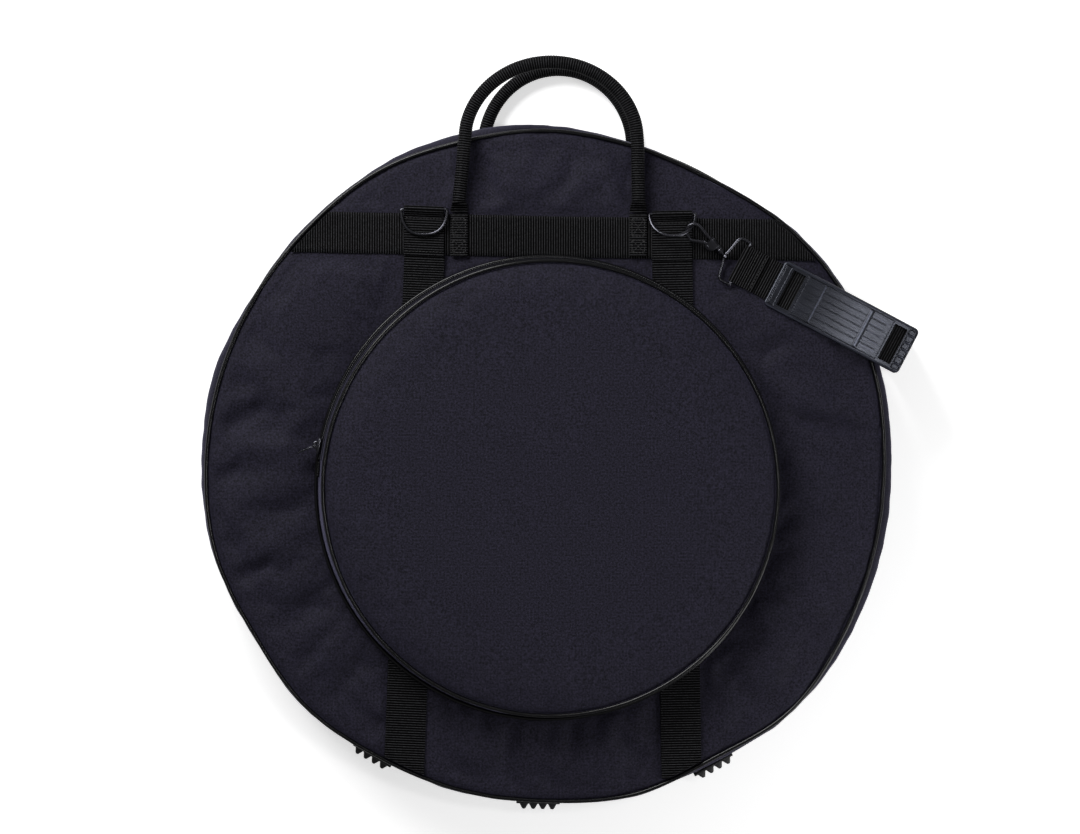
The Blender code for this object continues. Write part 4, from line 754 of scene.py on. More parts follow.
def panels():
    """Front and back panels: closed padded shells, front one folded, back one flat where it lies."""
    def front(angle):
        edge = front_edge(angle)
        line = [(0.19 * k / 5.0, 0.0875) for k in range(5)]
        rows = 62
        for k in range(rows + 1):
            radius = mix(0.19, edge, k / rows)
            line.append((radius, front_cloth_height(angle, radius, edge)))
        low = line[-1][1]
        line += [(edge + 0.0006, mix(low, FRONT_UNDER, 0.35)), (edge + 0.0004, mix(low, FRONT_UNDER, 0.7)),
                 (edge - 0.001, FRONT_UNDER)]
        line += [(mix(edge - 0.001, 0.0, k / 5.0), 0.0795) for k in range(1, 6)]
        return line
    made = disc_of(front, 576)
    cover = piece("front_cloth", made, finish("polyester oxford"), "lid", "front_panel")

    def sewn(point):
        angle = atan2(point.y, point.x)
        if point.z < 0.0825 or (point - POCKET).to_2d().length < 0.2170:
            return 1.0
        at_seam = smooth(1.0 - (front_edge(angle) - point.to_2d().length - 0.004) / 0.008)
        return max(at_seam, 1.0 - sewn_clear(point.x / MM, point.y / MM))
    relax(cover, sewn, 0.022, 0.0040)

    def back(angle):
        edge = rear_edge(angle)
        line = []
        for k in range(41):
            radius = edge * k / 40.0
            rise = back_rise(radius)
            x, y = radius * cos(angle), radius * sin(angle)
            soft = noise.noise(Vector((x, y, 5.0)) * 19.0) * 0.0012 * smooth((radius - 0.15) / 0.06)
            soft *= smooth((edge - radius) / 0.03) * (0.0 if y > 0.17 and abs(x) < 0.12 else 1.0)
            line.append((radius, max(0.0, rise + soft)))
        line += [(edge + 0.0004, 0.0195), (edge + 0.0004, 0.0215), (edge - 0.001, 0.023)]
        for k in range(1, 13):
            radius = (edge - 0.001) * (1.0 - k / 12.0)
            line.append((radius, min(back_rise(radius) + 0.0068, 0.023)))
        return line
    made = disc_of(back, 360)
    piece("back_cloth", made, finish("polyester oxford"), "tray", "back_panel")

    def divider(angle):
        line = []
        for k in range(25):
            radius = 0.280 * k / 24.0
            swell = 0.0005 * sin(radius / 0.03 * pi) * sin(angle * 8.0) * smooth(radius / 0.1)
            line.append((radius, back_rise(radius) + 0.0078 + max(0.0, swell)))
        top = [(radius, z + 0.0036) for radius, z in reversed(line)]
        return line + [(0.2806, mix(line[-1][1], top[0][1], 0.5))] + top
    made = disc_of(divider, 240)
    piece("divider_cloth", made, finish("brushed tricot"), "tray", "divider_pad")


def crease(angle, z, deep):
    """Short upright wrinkles and slow swells on a wall."""
    x, y = cos(angle), sin(angle)
    slow = noise.noise(Vector((x * 5.0, y * 5.0, z * 22.0)))
    quick = noise.noise(Vector((x * 24.0, y * 24.0, z * 30.0)))
    return deep * (0.75 * slow + 0.45 * quick)


def shell(outer, angle, thick, calm, steps):
    """Closed section of a padded wall, wrinkled on its outside between its seams."""
    low, high = outer[0][1], outer[-1][1]
    out = []
    for radius, z in softened(outer, steps):
        free = smooth(min(z - low, high - z) / (high - low) / 0.25)
        out.append((radius + crease(angle, z, calm) * free, z))
    return out + line_of([(radius - thick, z) for radius, z in reversed(outer)], 2)


def walls():
    """Padded walls of both halves, bulging and a little wrinkled between their seams."""
    def rear(angle):
        sewn, wide, seam = rear_edge(angle), outline(angle) * 1.010, seam_radius(angle)
        nearest = min(abs((angle - radians(d) + pi) % TURN - pi) for d in FOOT_DEGREES)
        free = smooth((nearest - 0.075) / 0.150)
        wide = mix(outline(angle), wide, free)
        outer = [(sewn + SEWN_OUT, 0.0224), (mix(sewn, wide, 0.76), 0.0282), (wide, FOOT_Z),
                 (mix(seam, wide, 0.66), 0.0455), (seam, 0.0500), (seam, 0.0577)]
        return shell(outer, angle, 0.006, mix(0.0002, 0.0014, free), 6)

    def front(angle):
        sewn, seam = front_edge(angle), seam_radius(angle)
        outer = [(seam, 0.0583), (seam, 0.0660), (mix(seam, sewn, 0.45), 0.0715),
                 (mix(seam, sewn, 0.9), 0.0760), (sewn + SEWN_OUT, 0.0806)]
        return shell(outer, angle, 0.006, 0.0009, 6)
    cloth = finish("polyester oxford wall")
    piece("rear_wall", ring_of(rear, 540), cloth, "tray", "rear_gusset")
    piece("front_wall", ring_of(front, 540), cloth, "lid", "front_gusset")


def lean(z):
    """Sideways shift of the pocket's foot, which leans a little to the left under its face."""
    return -0.0030 * (1.0 - min(1.0, max(0.0, (z - 0.0903) / 0.028)) ** 2)


def leaned(made):
    """Shift a shape with the lean of the pocket's wall."""
    for vert in made.verts:
        vert.co.x += lean(vert.co.z)
    return made


def wavy(points):
    """Closed path with the small waver of a sewn-in cord."""
    out = []
    for point in points:
        waver = noise.noise(point * 55.0) * 0.00035
        out.append(point + Vector((waver, waver * 0.6, noise.noise(point * 48.0 + UP) * 0.0003)))
    return out + [out[0].copy()]


def pipings():
    """Vinyl piping in the four round seams; one cord at the pocket's rim, on no body, stands for both the
    pocket's and the flap's piping.
    """
    vinyl = finish("vinyl piping")

    def cord(centre, radius_at, z, thick, count=420):
        turns = [TURN * k / count for k in range(count)]
        return rod(wavy([polar(centre, radius_at(a), a, z) for a in turns]), thick, 12, 0.003, True)
    piece("front_seam_piping", cord(Vector(), lambda a: front_edge(a) + PIPING_OUT, 0.0818, 0.0019), vinyl,
          "lid", "front_piping")
    piece("rear_seam_piping", cord(Vector(), lambda a: rear_edge(a) + PIPING_OUT, 0.0212, 0.0019), vinyl,
          "tray", "rear_piping")
    piece("pocket_foot_piping", leaned(cord(POCKET, lambda a: 0.2142, 0.0921, 0.0017)), vinyl,
          "lid", "pocket_base_welt")
    rim = piece("pocket_rim_piping", cord(POCKET, lambda a: 0.2093, 0.11975, 0.0018), vinyl,
                None, "pocket_piping", "pocket_flap_piping")
    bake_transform(rim)


def zip_half(centre, radius, seam_z, upward, start, end):
    """Sewn tape of half a zip, and its coil."""
    way = 1.0 if upward else -1.0

    def section(angle):
        near, coil, far = (seam_z + way * d for d in (0.0003, 0.0024, 0.0070))
        return [(radius, near), (radius + 0.0007, near), (radius + 0.0009, coil),
                (radius + 0.0008, mix(coil, far, 0.5)), (radius + 0.0006, far), (radius, far)]
    tape = ring_of(section, max(24, ceil((end - start) * radius / 0.004)), centre, start, end)
    pitch = sizes().coil_pitch / radius
    turns = []
    count = int((end - start) / pitch)
    for k in range(count):
        angle = start + (k + (0.25 if upward else 0.75)) * pitch
        out, along = outward(angle)
        seat = polar(centre, radius + 0.0017, angle, seam_z + way * 0.00115)
        turns.append(axes(seat, along + UP * way * 0.35, out))
    bead = boxed((0.00125, 0.0015, 0.0021), Matrix.Identity(4), 0.0004, 1)
    return tape, repeat(bead, turns)


def zips():
    """Main zip round the top of the wall, and the pocket's zip."""
    tape, coil = finish("polyester zip tape"), finish("nylon coil")
    main = (ZIP_CENTRE, ZIP_RADIUS + 0.0006, SEAM_Z, ZIP_FROM, ZIP_TO)
    small = (POCKET, POCKET_WALL + 0.0003, POCKET_SEAM_Z, POCKET_ZIP_FROM, POCKET_ZIP_TO)
    for name, body, node, upward, (centre, radius, z, start, end) in (
        ("main_zip_rear", "tray", "rear_zip_tape", False, main),
        ("main_zip_front", "lid", "front_zip_tape", True, main),
        ("pocket_zip_rear", "lid", "pocket_rear_zip_tape", False, small),
        ("pocket_zip_front", "pocket_flap", "pocket_flap_zip_tape", True, small),
    ):
        cloth, beads = zip_half(centre, radius, z, upward, start, end)
        if centre is POCKET:
            leaned(cloth)
            leaned(beads)
        piece(name + "_tape", cloth, tape, body, node)
        piece(name + "_coil", beads, coil, body)


def pocket():
    """Round pocket: padded face over the fold, walls below and above the zip, and sewn end tabs."""
    def face(angle):
        line = []
        rows = 46
        for k in range(rows + 1):
            radius = FACE_RADIUS * k / rows
            x, y = POCKET.x + radius * cos(angle), POCKET.y + radius * sin(angle)
            z = 0.1226 + 0.0026 * (1.0 - (radius / FACE_RADIUS) ** 4.5)
            rise = fold_height(x / MM, y / MM, POCKET_FOLDS) * 0.0021
            rise += noise.noise(Vector((x, y, 9.0)) * 13.0) * 0.0007 * smooth((FACE_RADIUS - radius) / 0.03)
            gap = FACE_RADIUS - radius
            pucker = noise.noise(Vector((cos(angle) * 17.0, sin(angle) * 17.0, 3.0)))
            pucker *= smooth(1.0 - gap / 0.016)
            z += max(-0.0016, min(0.0010, rise)) + pucker * 0.0005
            z -= 0.0014 * (1.0 - min(1.0, gap / 0.020)) ** 2
            line.append((radius, z - 0.0022 * (1.0 - smooth(gap / 0.0070))))
        low = line[-1][1]
        line += [(0.2072, mix(low, FACE_UNDER, 0.4)), (0.2070, mix(low, FACE_UNDER, 0.8)),
                 (0.2060, FACE_UNDER)]
        line += [(0.2060 * (1.0 - k / 6.0), FACE_UNDER) for k in range(1, 7)]
        return line
    cloth = piece("pocket_face_cloth", disc_of(face, 480, POCKET), finish("polyester oxford"), None,
                  "pocket_panel", "pocket_flap_panel")

    def sewn(point):
        gap = FACE_RADIUS - (point - POCKET).to_2d().length
        return 1.0 if point.z < 0.119 else smooth(1.0 - (gap - 0.004) / 0.010)
    relax(cloth, sewn, 0.010, 0.0024)
    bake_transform(cloth)

    def walled(outer, calm=0.0007):
        return lambda angle: shell(outer, angle * 0.6, 0.003, calm, 5)
    foot = [(0.2145, 0.0903), (0.2122, 0.0928), (0.2112, 0.0968)]
    brim = [(0.2112, 0.1100), (0.2104, 0.1138), (0.2068, 0.1167)]
    wall = finish("polyester oxford wall")
    start, end = POCKET_ZIP_FROM, POCKET_ZIP_TO
    lower = walled(foot + [(0.2118, 0.1030)] + brim)
    fixed = ring_of(lower, 260, POCKET, end + 0.0015, start + TURN - 0.0015)
    piece("pocket_wall", leaned(fixed), wall, "lid", "pocket_gusset")
    below = ring_of(walled(foot + [(0.2110, 0.1037)], 0.0004), 220, POCKET, start, end)
    piece("pocket_wall_under_zip", leaned(below), wall, "lid", "pocket_zip_panel")
    above = ring_of(walled([(0.2110, 0.1043)] + brim, 0.0005), 220, POCKET, start, end)
    piece("pocket_wall_over_zip", leaned(above), wall, "pocket_flap", "pocket_flap_gusset")
    thread = bmesh.new()
    for name, angle in (("left", radians(175.3)), ("right", radians(4.7))):
        out, across = outward(angle)
        seat = polar(POCKET, POCKET_WALL + 0.0014, angle, POCKET_SEAM_Z) + RIGHT * lean(POCKET_SEAM_Z)
        ends = [seat - across * 0.0072, seat, seat + across * 0.0072]
        tab = webbing(curve_through(ends, 6), UP, 0.0095, 0.0017)
        piece("pocket_end_tab_" + name + "_webbing", tab, finish("polypropylene webbing"), "lid",
              "pocket_end_tab_" + name)
        for height in (-0.0030, 0.0030):
            row = [point + UP * height + out * 0.0009 for point in ends]
            into(thread, stitches([(row, out)], STITCH))
    piece("pocket_tab_stitches", thread, finish("bonded thread"), "lid")


def band_point(x, across):
    """Point of the front band's middle layer."""
    far, reach = (0.2165, 0.224) if x < 0.0 else (0.2085, 0.231)
    y = mix(0.2115, far, min(1.0, abs(x) / reach)) + across
    return Vector((x, y, front_base(hypot(x, y)) + 0.0013))


STRAP_FOOT_Y = -0.291


def front_webbing():
    """Level band and the two long straps, with their returned ends and stitch rows."""
    web = finish("polypropylene webbing")
    pitch = sizes().rib_pitch
    ends = (-0.254, 0.257)
    columns, rows = 40, ceil((ends[1] - ends[0]) / pitch * 5.0)

    def place(u, v):
        x = mix(ends[0], ends[1], v)
        turn = u % 1.0
        top = turn < 0.5
        share = turn / 0.46 if top else (turn - 0.5) / 0.46
        across = (min(1.0, share) - 0.5) * (1.0 if top else -1.0)
        y = band_point(x, across * WEBBING_WIDTH).y
        limit = sqrt((front_edge(atan2(y, x)) - 0.0008) ** 2 - y * y)
        x = max(-limit, min(limit, x))
        point = band_point(x, across * WEBBING_WIDTH)
        rib = rib_at(x - ends[0], pitch)
        edge = smooth((0.5 - abs(across)) / 0.03)
        lift = 0.00085 * edge - sizes().rib_height * (1.0 - rib)
        return point + UP * (lift if top else -0.0007)
    made = skin(columns, rows, place, 2.0 * WEBBING_WIDTH, ends[1] - ends[0], True, False, True)
    bmesh.ops.dissolve_degenerate(made, dist=1e-5, edges=made.edges)
    piece("front_band_webbing", made, web, "lid", "front_band")

    thread = bmesh.new()
    for name, top_x, foot_x, bar_y, row_y in (
        ("front_strap_left", -0.1138, -0.1316, 0.2365, (0.2285, 0.1975)),
        ("front_strap_right", 0.116, 0.1242, 0.232, (0.2240, 0.1930)),
    ):
        def at(y, z, top_x=top_x, foot_x=foot_x):
            return Vector((mix(foot_x, top_x, min(1.0, (y + 0.256) / 0.446)), y, z))
        side = (at(0.10, 0.0) - at(-0.2, 0.0)).normalized().cross(UP)
        path = [at(row_y[1] - 0.0035, 0.0929), at(bar_y - 0.02, 0.09295), at(bar_y - 0.008, 0.0932)]
        for turn in (125.0, 90.0, 50.0, 10.0, -30.0, -70.0, -100.0):
            a = radians(turn)
            path.append(at(bar_y + 0.0027 * cos(a), 0.095 + 0.0027 * sin(a)))
        path += [at(bar_y - 0.006, 0.0911), at(0.205, 0.0909), at(0.190, 0.0909), at(0.180, 0.0903)]
        line = curve_through(path, 6)
        for k in range(1, 61):
            y = mix(0.180, STRAP_FOOT_Y, k / 60.0)
            swell = noise.noise(Vector((top_x * 9.0, y * 14.0, 0.0))) * 0.0005
            point = at(y, 0.0)
            point.z = max(front_base(hypot(point.x - 0.019, y)), front_base(hypot(point.x, y))) + 0.0018
            point.z += max(-0.0003, swell) * smooth(1.0 - abs(y) / 0.25)
            line.append(point)
        made = webbing(line, side, WEBBING_WIDTH, STRAP_THICKNESS)
        for vert in made.verts:
            x, y = vert.co.x, vert.co.y
            if y < -0.2:
                edge = front_edge(atan2(y, x)) - 0.0008
                limit = -sqrt(edge * edge - x * x)
                vert.co.y = max(y, limit)
                drop = front_base(hypot(x, vert.co.y)) - front_base(hypot(x, y))
                vert.co.z += drop - 0.0012 * smooth(1.0 - (vert.co.y - limit) / 0.008)
        bmesh.ops.dissolve_degenerate(made, dist=1e-5, edges=made.edges)
        piece(name + "_webbing", made, web, "lid", name)
        for y in row_y:
            half = [at(y, 0.09385) + side * (0.0172 * s) for s in (-1.0, 0.0, 1.0)]
            into(thread, stitches([(half, UP)], STRAP_STITCH))
    piece("strap_stitches", thread, finish("bonded thread"), "lid")


def ring_point(bar, tilt, turn, width_power, depth_power):
    """Point of a D-ring's bow, squarer with lower powers."""
    wide = signed(cos(turn), width_power)
    down = 0.023 * abs(sin(turn)) ** depth_power
    return Vector((bar.x + 0.0212 * wide, bar.y - down * cos(tilt), bar.z + down * sin(tilt)))


def d_rings():
    """Bent-wire D-rings, round in section, closed by a straight bar."""
    metal = finish("black nickel")
    # The right bow is rounder, so that the snap hook's eye turns clear of it.
    for name, bar, tilt, powers in (
        ("d_ring_left", Vector((-0.1138, 0.2365, 0.095)), radians(3.0), (0.78, 0.90)),
        ("d_ring_right", Vector((0.116, 0.232, 0.095)), radians(28.0), (0.90, 0.96)),
    ):
        bow = [ring_point(bar, tilt, pi * k / 72.0, *powers) for k in range(73)]
        path = bow + [bow[-1].lerp(bow[0], k / 14.0) for k in range(1, 15)]
        piece(name + "_wire", rod(path, 0.0016, 16, 0.0011, True), metal, name, name, sharp=0.0)


def handle_path(left_x, right_x, arch_left, arch_right, height, root_z, tube_z):
    """Middle line of a handle between its two roots."""
    middle, half = (arch_left + arch_right) / 2.0, (arch_right - arch_left) / 2.0
    bow_y = 0.300

    def root(x, arch_x):
        """Points from a root up to the bow."""
        rise = ((0.2338, 0.0), (0.2372, 0.10), (0.2412, 0.62), (0.2470, 1.0))
        return [Vector((x, y, mix(root_z, tube_z, share))) for y, share in rise] + [
            Vector((mix(x, arch_x, 0.6), mix(rise[-1][0], bow_y, 0.55), tube_z))]
    bow = [Vector((middle - half * cos(pi * k / 12.0), bow_y + height * sin(pi * k / 12.0), tube_z))
           for k in range(13)]
    return curve_through(root(left_x, arch_left) + bow + root(right_x, arch_right)[::-1], 8)


def handles():
    """Handles of webbing rolled round a cord, ribbed across, with flat sewn tabs."""
    web = finish("polypropylene webbing")
    pitch = sizes().rib_pitch
    for name, tab_body, left_x, right_x, arch_left, arch_right, height, root_z, tube_z, lift in (
        ("front_handle", "lid", -0.0813, 0.0845, -0.0763, 0.0837, 0.073, 0.0916, 0.0953, 1.0),
        ("rear_handle", "tray", -0.056, 0.080, -0.0595, 0.081, 0.073, 0.0017, 0.0088, -1.0),
    ):
        path = handle_path(left_x, right_x, arch_left, arch_right, height, root_z, tube_z)
        line, total = even(path, pitch / 5.0)
        rows = len(line) - 1

        def place(u, v):
            k = round(v * rows)
            way = line[min(rows, k + 1)] - line[max(0, k - 1)]
            way.z = 0.0
            side = way.normalized().cross(UP)
            reach = min(v, 1.0 - v) * total
            full = smooth((reach - 0.0015) / 0.012)
            rib = rib_at(v * total, pitch)
            angle = u * TURN
            seam = bell((u - 0.75) / 0.02) * 0.0011 * full
            wide = mix(0.0080, 0.00625, full)
            thick = mix(mix(0.0003, 0.0010, smooth(reach / 0.002)), 0.00625, full)
            shy = sizes().rib_height * 1.5 * (1.0 - rib) * (0.25 + 0.75 * full) + seam
            power = mix(0.35, 1.0, full)
            deep = max(0.0001, thick - min(shy, thick * 0.5))
            across = side * signed(cos(angle), power) * (wide - shy)
            return line[k] + across + UP * signed(sin(angle), power) * deep
        made = skin(32, rows, place, 0.04, total, True, False, True)
        piece(name + "_tube", made, web, name, name)
        thread = bmesh.new()
        for which, x in (("left", left_x), ("right", right_x)):
            line_tab = [Vector((x, mix(0.1935, 0.2330, k / 30.0), root_z)) for k in range(31)]
            tab = webbing(line_tab, RIGHT, 0.0160, 0.0026)
            for vert in tab.verts:
                thin = smooth((0.2334 - vert.co.y) / 0.0030)
                vert.co.z = root_z + (vert.co.z - root_z) * mix(0.15, 1.0, thin)
            piece(name + "_tab_" + which + "_webbing", tab, web, tab_body, name + "_tab_" + which)
            for low, high in ((0.1965, 0.2080), (0.2120, 0.2280)):
                z = root_z + 0.0013 * lift
                corners = [Vector((x + sx * 0.0058, y, z))
                           for sx, y in ((-1, low), (1, low), (1, high), (-1, high))]
                for j, i in ((0, 1), (1, 2), (2, 3), (3, 0), (0, 2), (1, 3)):
                    into(thread, stitches([([corners[j], corners[i]], UP * lift)], STITCH))
        piece(name + "_stitches", thread, finish("bonded thread"), tab_body)
    ends = [Vector((mix(-0.098, 0.098, k / 60.0), 0.2115, 0.0041)) for k in range(61)]
    piece("rear_band_webbing", webbing(ends, AHEAD, WEBBING_WIDTH, 0.0016), web, "tray", "rear_band")


def feet():
    """Moulded rubber feet with rounded studs."""
    rubber = finish("natural rubber")
    for name, degrees in zip(("foot_left", "foot_middle", "foot_right"), FOOT_DEGREES):
        angle = radians(degrees)
        out, along = outward(angle)
        reach = 0.041 / BODY_RADIUS / 2.0
        seat = max(outline(angle + turn * reach) * cos(turn * reach) for turn in (-1.0, -0.5, 0.0, 0.5, 1.0))
        made = boxed((0.0408, 0.0238, 0.0024), Matrix.Identity(4), 0.0007, 2)
        place = axes(out * (seat + 0.0016) + UP * FOOT_Z, along, UP)
        bmesh.ops.transform(made, matrix=place, verts=made.verts)
        cell_u, cell_v = (0.041 - 0.0016 * 5) / 4.0, (0.024 - 0.0016 * 3) / 2.0
        for column in range(4):
            for row in range(2):
                u = -0.0205 + 0.0016 + cell_u / 2.0 + column * (cell_u + 0.0016)
                v = -0.012 + 0.0016 + cell_v / 2.0 + row * (cell_v + 0.0016)
                stud = bmesh.new()
                block = Matrix.Diagonal((cell_u + 0.0004, cell_v, 0.0056, 1.0))
                bmesh.ops.create_cube(stud, size=1.0, matrix=block)
                for vert in stud.verts:
                    if vert.co.z > 0.0:
                        vert.co.x *= 0.30
                        vert.co.y *= 0.55
                bmesh.ops.bevel(stud, geom=stud.edges[:], offset=0.0010, segments=3, profile=0.5,
                                affect="EDGES", material=-1)
                place = axes(out * (seat + 0.0052) + along * u * 0.9 + UP * (FOOT_Z + v), along, UP)
                bmesh.ops.transform(stud, matrix=place, verts=stud.verts)
                into(made, stud)
        piece(name + "_rubber", made, rubber, "tray", name)


STRAP_ALONG = Vector((0.884825, -0.465923, 0.0))
STRAP_SIDE = Vector((0.465923, 0.884825, 0.0))
STRAP_START = Vector((0.1789, 0.186, 0.0))
PAD_FROM, PAD_SPAN = 0.0354, 0.1404
PAD_HALF = 0.023
PAD_CORNER = 0.0045


def strap_point(s, z, across=0.0):
    """Point on the shoulder strap: distance from its wire loop, height and place across."""
    return STRAP_START + STRAP_ALONG * s + STRAP_SIDE * across + UP * z


def pad_lift(s):
    """Rise of the arched pad."""
    share = min(1.0, max(0.0, (s - PAD_FROM) / PAD_SPAN))
    return 0.004 * sin(pi * share)


def bent_round(s, z, radius, degrees):
    """Points of a fold round a bar."""
    return [strap_point(s + radius * cos(radians(d)), z + radius * sin(radians(d))) for d in degrees]


def shoulder_strap():
    """Strap: doubled at the loop, through the pad, down behind the rim and folded flat under the bag."""
    web = finish("polypropylene webbing")
    path = [strap_point(0.0210, 0.0958), strap_point(0.0140, 0.0963), strap_point(0.0065, 0.0966)]
    path += bent_round(0.0, 0.0955, 0.0026, (70.0, 100.0, 135.0, 180.0, 225.0, 265.0, 290.0))
    path += [strap_point(0.0075, 0.0934), strap_point(0.0220, 0.0933)]
    path += [strap_point(s, 0.0933 + pad_lift(s)) for s in (0.0354, 0.060, 0.080, 0.1056, 0.131, 0.150)]
    made = webbing(curve_through(path, 8), STRAP_SIDE, WEBBING_WIDTH, STRAP_THICKNESS)
    piece("strap_front_webbing", made, web, "lid", "strap_front")
    drop = [strap_point(s, z) for s, z in (
        (0.1502, 0.0933 + pad_lift(0.150)), (0.162, 0.0931 + pad_lift(0.162)), (0.170, 0.0928),
        (0.1727, 0.0898), (0.1735, 0.0833), (0.1735, 0.060), (0.1735, 0.030), (0.1735, 0.012),
        (0.1705, 0.0052), (0.1645, 0.0031), (0.1503, 0.0030))]
    made = webbing(curve_through(drop, 10), STRAP_SIDE, WEBBING_WIDTH, STRAP_THICKNESS)
    turn = piece("strap_turn_webbing", made, web, None, "strap_turn")
    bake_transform(turn)
    tail = [strap_point(s, z) for s, z in (
        (0.150, 0.0030), (0.080, 0.0030), (0.010, 0.0030), (0.00905, 0.00395), (0.010, 0.0049),
        (0.070, 0.0049), (0.128, 0.0049), (0.12895, 0.00585), (0.128, 0.0068), (0.060, 0.0068),
        (-0.014, 0.0068))]
    tail += bent_round(-0.022, 0.0068, 0.0026, (80.0, 130.0, 180.0, 230.0, 280.0))
    tail += [strap_point(-0.013, 0.0049)]
    made = webbing(curve_through(tail, 10), STRAP_SIDE, WEBBING_WIDTH, 0.0016)
    piece("strap_tail_webbing", made, web, "tray", "strap_tail")
    rows = [([strap_point(s, z, across) for across in (-0.016, 0.016)], UP)
            for s, z in ((0.0105, 0.09745), (0.0185, 0.0971))]
    thread = stitches(rows, STRAP_STITCH)
    piece("strap_loop_stitches", thread, finish("bonded thread"), "lid")


def pad_outline(s):
    """Half width of the pad at a distance along it, with rounded corners."""
    reach = max(0.0, min(s - PAD_FROM, PAD_FROM + PAD_SPAN - s))
    if reach >= PAD_CORNER:
        return PAD_HALF
    return PAD_HALF - PAD_CORNER + sqrt(max(0.0, PAD_CORNER ** 2 - (PAD_CORNER - reach) ** 2))


def shoulder_pad():
    """Moulded pad: raised border, two windows that the strap shows in, cross ribs and fine ribs along it."""
    columns, rows = 118, 300
    floor = 0.0014
    windows = ((0.0465, 0.0595), (0.1525, 0.1655))
    half_window = 0.018

    def station(v):
        return PAD_FROM + PAD_SPAN * v

    def top(s, across):
        half = pad_outline(s)
        inner = min(half - abs(across), s - PAD_FROM, PAD_FROM + PAD_SPAN - s)
        z = 0.0066
        if inner < 0.0024:
            z -= 0.0016 * (1.0 - sqrt(max(0.0, 1.0 - (1.0 - min(1.0, inner / 0.0024)) ** 2)))
        z -= 0.0009 * smooth((inner - 0.0030) / 0.0009)
        for near, far in windows:
            gap = max(near - s, s - far, abs(across) - half_window)
            if gap < 0.0024:
                z = max(z, mix(z, 0.0066, smooth((0.0024 - gap) / 0.0008)))
        for middle, wide, high in ((0.0800, 0.0010, 0.0008), (0.1280, 0.0022, 0.0009)):
            z += high * smooth(1.0 - max(0.0, abs(s - middle) - wide * 0.5) / (wide * 0.6)) * smooth(
                (0.0195 - abs(across)) / 0.0012)
        if 0.0635 < s < 0.148 and abs(across) < 0.0185:
            fade = smooth(min(s - 0.0635, 0.148 - s) / 0.004)
            z -= 0.00014 * fade * smooth(1.0 - abs((across / 0.0062 + 0.5) % 1.0 - 0.5) / 0.07)
        if s > 0.1675 and abs(across) < 0.0180:
            z += 0.0006 * smooth(1.0 - abs((across / 0.0072 + 0.5) % 1.0 - 0.5) / 0.14)
        return z

    def ridge_highlight_share(s, across):
        """Share of painted highlight on the raised ribs, ticks and border."""
        inside = smooth((0.0190 - abs(across)) / 0.0012)
        ribs = max(smooth(1.0 - abs(s - middle) / wide)
                   for middle, wide in ((0.0800, 0.0011), (0.1280, 0.0020)))
        ticks = 0.0
        if s > 0.1285:
            ticks = smooth(1.0 - abs((across / 0.0072 + 0.5) % 1.0 - 0.5) / 0.10)
            ticks *= smooth((s - 0.1295) / 0.004)
            ticks *= smooth(max(0.1480 - s, s - 0.1675) / 0.002)
        # A thin painted highlight along the rounded shoulder of the raised border.
        border = smooth(1.0 - abs(pad_outline(s) - abs(across) - 0.0012) / 0.0010) * 0.4
        return max(ribs * inside, ticks * inside * 0.8, border)

    def window_at(s, across):
        return any(near < s < far for near, far in windows) and abs(across) < half_window

    made = bmesh.new()
    uv = made.loops.layers.uv.new("UVMap")
    worn = made.verts.layers.float.new("worn")
    bmesh.ops.create_grid(made, x_segments=rows, y_segments=columns, size=0.5, calc_uvs=True)
    for vert in made.verts:
        s, share = station(vert.co.x + 0.5), vert.co.y * 2.0
        vert.co = Vector((s, share * pad_outline(s), 0.0))
    for face in made.faces:
        for corner in face.loops:
            corner[uv].uv = (corner.vert.co.x, corner.vert.co.y)
    holes = [f for f in made.faces if window_at(f.calc_center_median().x, f.calc_center_median().y)]
    under = bmesh.ops.duplicate(made, geom=made.verts[:] + made.edges[:] + made.faces[:])["geom"]
    below = set(verts_in(under))
    for vert in made.verts:
        s, across = vert.co.x, vert.co.y
        if vert in below:
            vert.co.z = 0.0
        else:
            vert.co.z = top(s, across)
            # Each top vertex stores its share of painted highlight.
            vert[worn] = ridge_highlight_share(s, across)
    bmesh.ops.delete(made, geom=holes, context="FACES")
    rim = [e for e in made.edges if e.is_boundary]

    def windowed(edge):
        middle = (edge.verts[0].co + edge.verts[1].co) / 2.0
        return any(near - 0.001 < middle.x < far + 0.001 for near, far in windows) and abs(middle.y) < 0.0195
    outer = [e for e in rim if not windowed(e)]
    bmesh.ops.bridge_loops(made, edges=outer)
    for near, far in windows:
        ring = [e for e in made.edges if e.is_boundary and near - 0.001 < e.verts[0].co.x < far + 0.001]
        walls_down = bmesh.ops.extrude_edge_only(made, edges=ring)["geom"]
        for vert in verts_in(walls_down):
            vert.co.z = floor + 0.0004
        bottom = [e for e in made.edges if e.is_boundary and near - 0.001 < e.verts[0].co.x < far + 0.001]
        bmesh.ops.holes_fill(made, edges=bottom, sides=0)
    bmesh.ops.recalc_face_normals(made, faces=made.faces)
    for vert in made.verts:
        s, across, z = vert.co
        vert.co = strap_point(s, 0.0906 + pad_lift(s) + z, across)
    piece("shoulder_pad_moulding", made, finish("thermoplastic rubber"), "shoulder_pad", "shoulder_pad",
          sharp=42.0)


def plate_of(outline_points, half_thickness, matrix, bevel):
    """Flat plate from an outline, with rounded edges."""
    made = bmesh.new()
    bmesh.ops.create_circle(made, cap_ends=True, segments=len(outline_points), radius=1.0)
    made.verts.ensure_lookup_table()
    for vert, (u, v) in zip(made.verts, outline_points):
        vert.co = Vector((u, v, -half_thickness))
    top = bmesh.ops.extrude_face_region(made, geom=made.faces[:], use_keep_orig=True)["geom"]
    bmesh.ops.translate(made, vec=UP * 2.0 * half_thickness, verts=verts_in(top))
    bmesh.ops.recalc_face_normals(made, faces=made.faces)
    bmesh.ops.bevel(made, geom=made.edges[:], offset=bevel, segments=2, profile=0.5, affect="EDGES",
                    material=-1)
    bmesh.ops.transform(made, matrix=matrix, verts=made.verts)
    return made


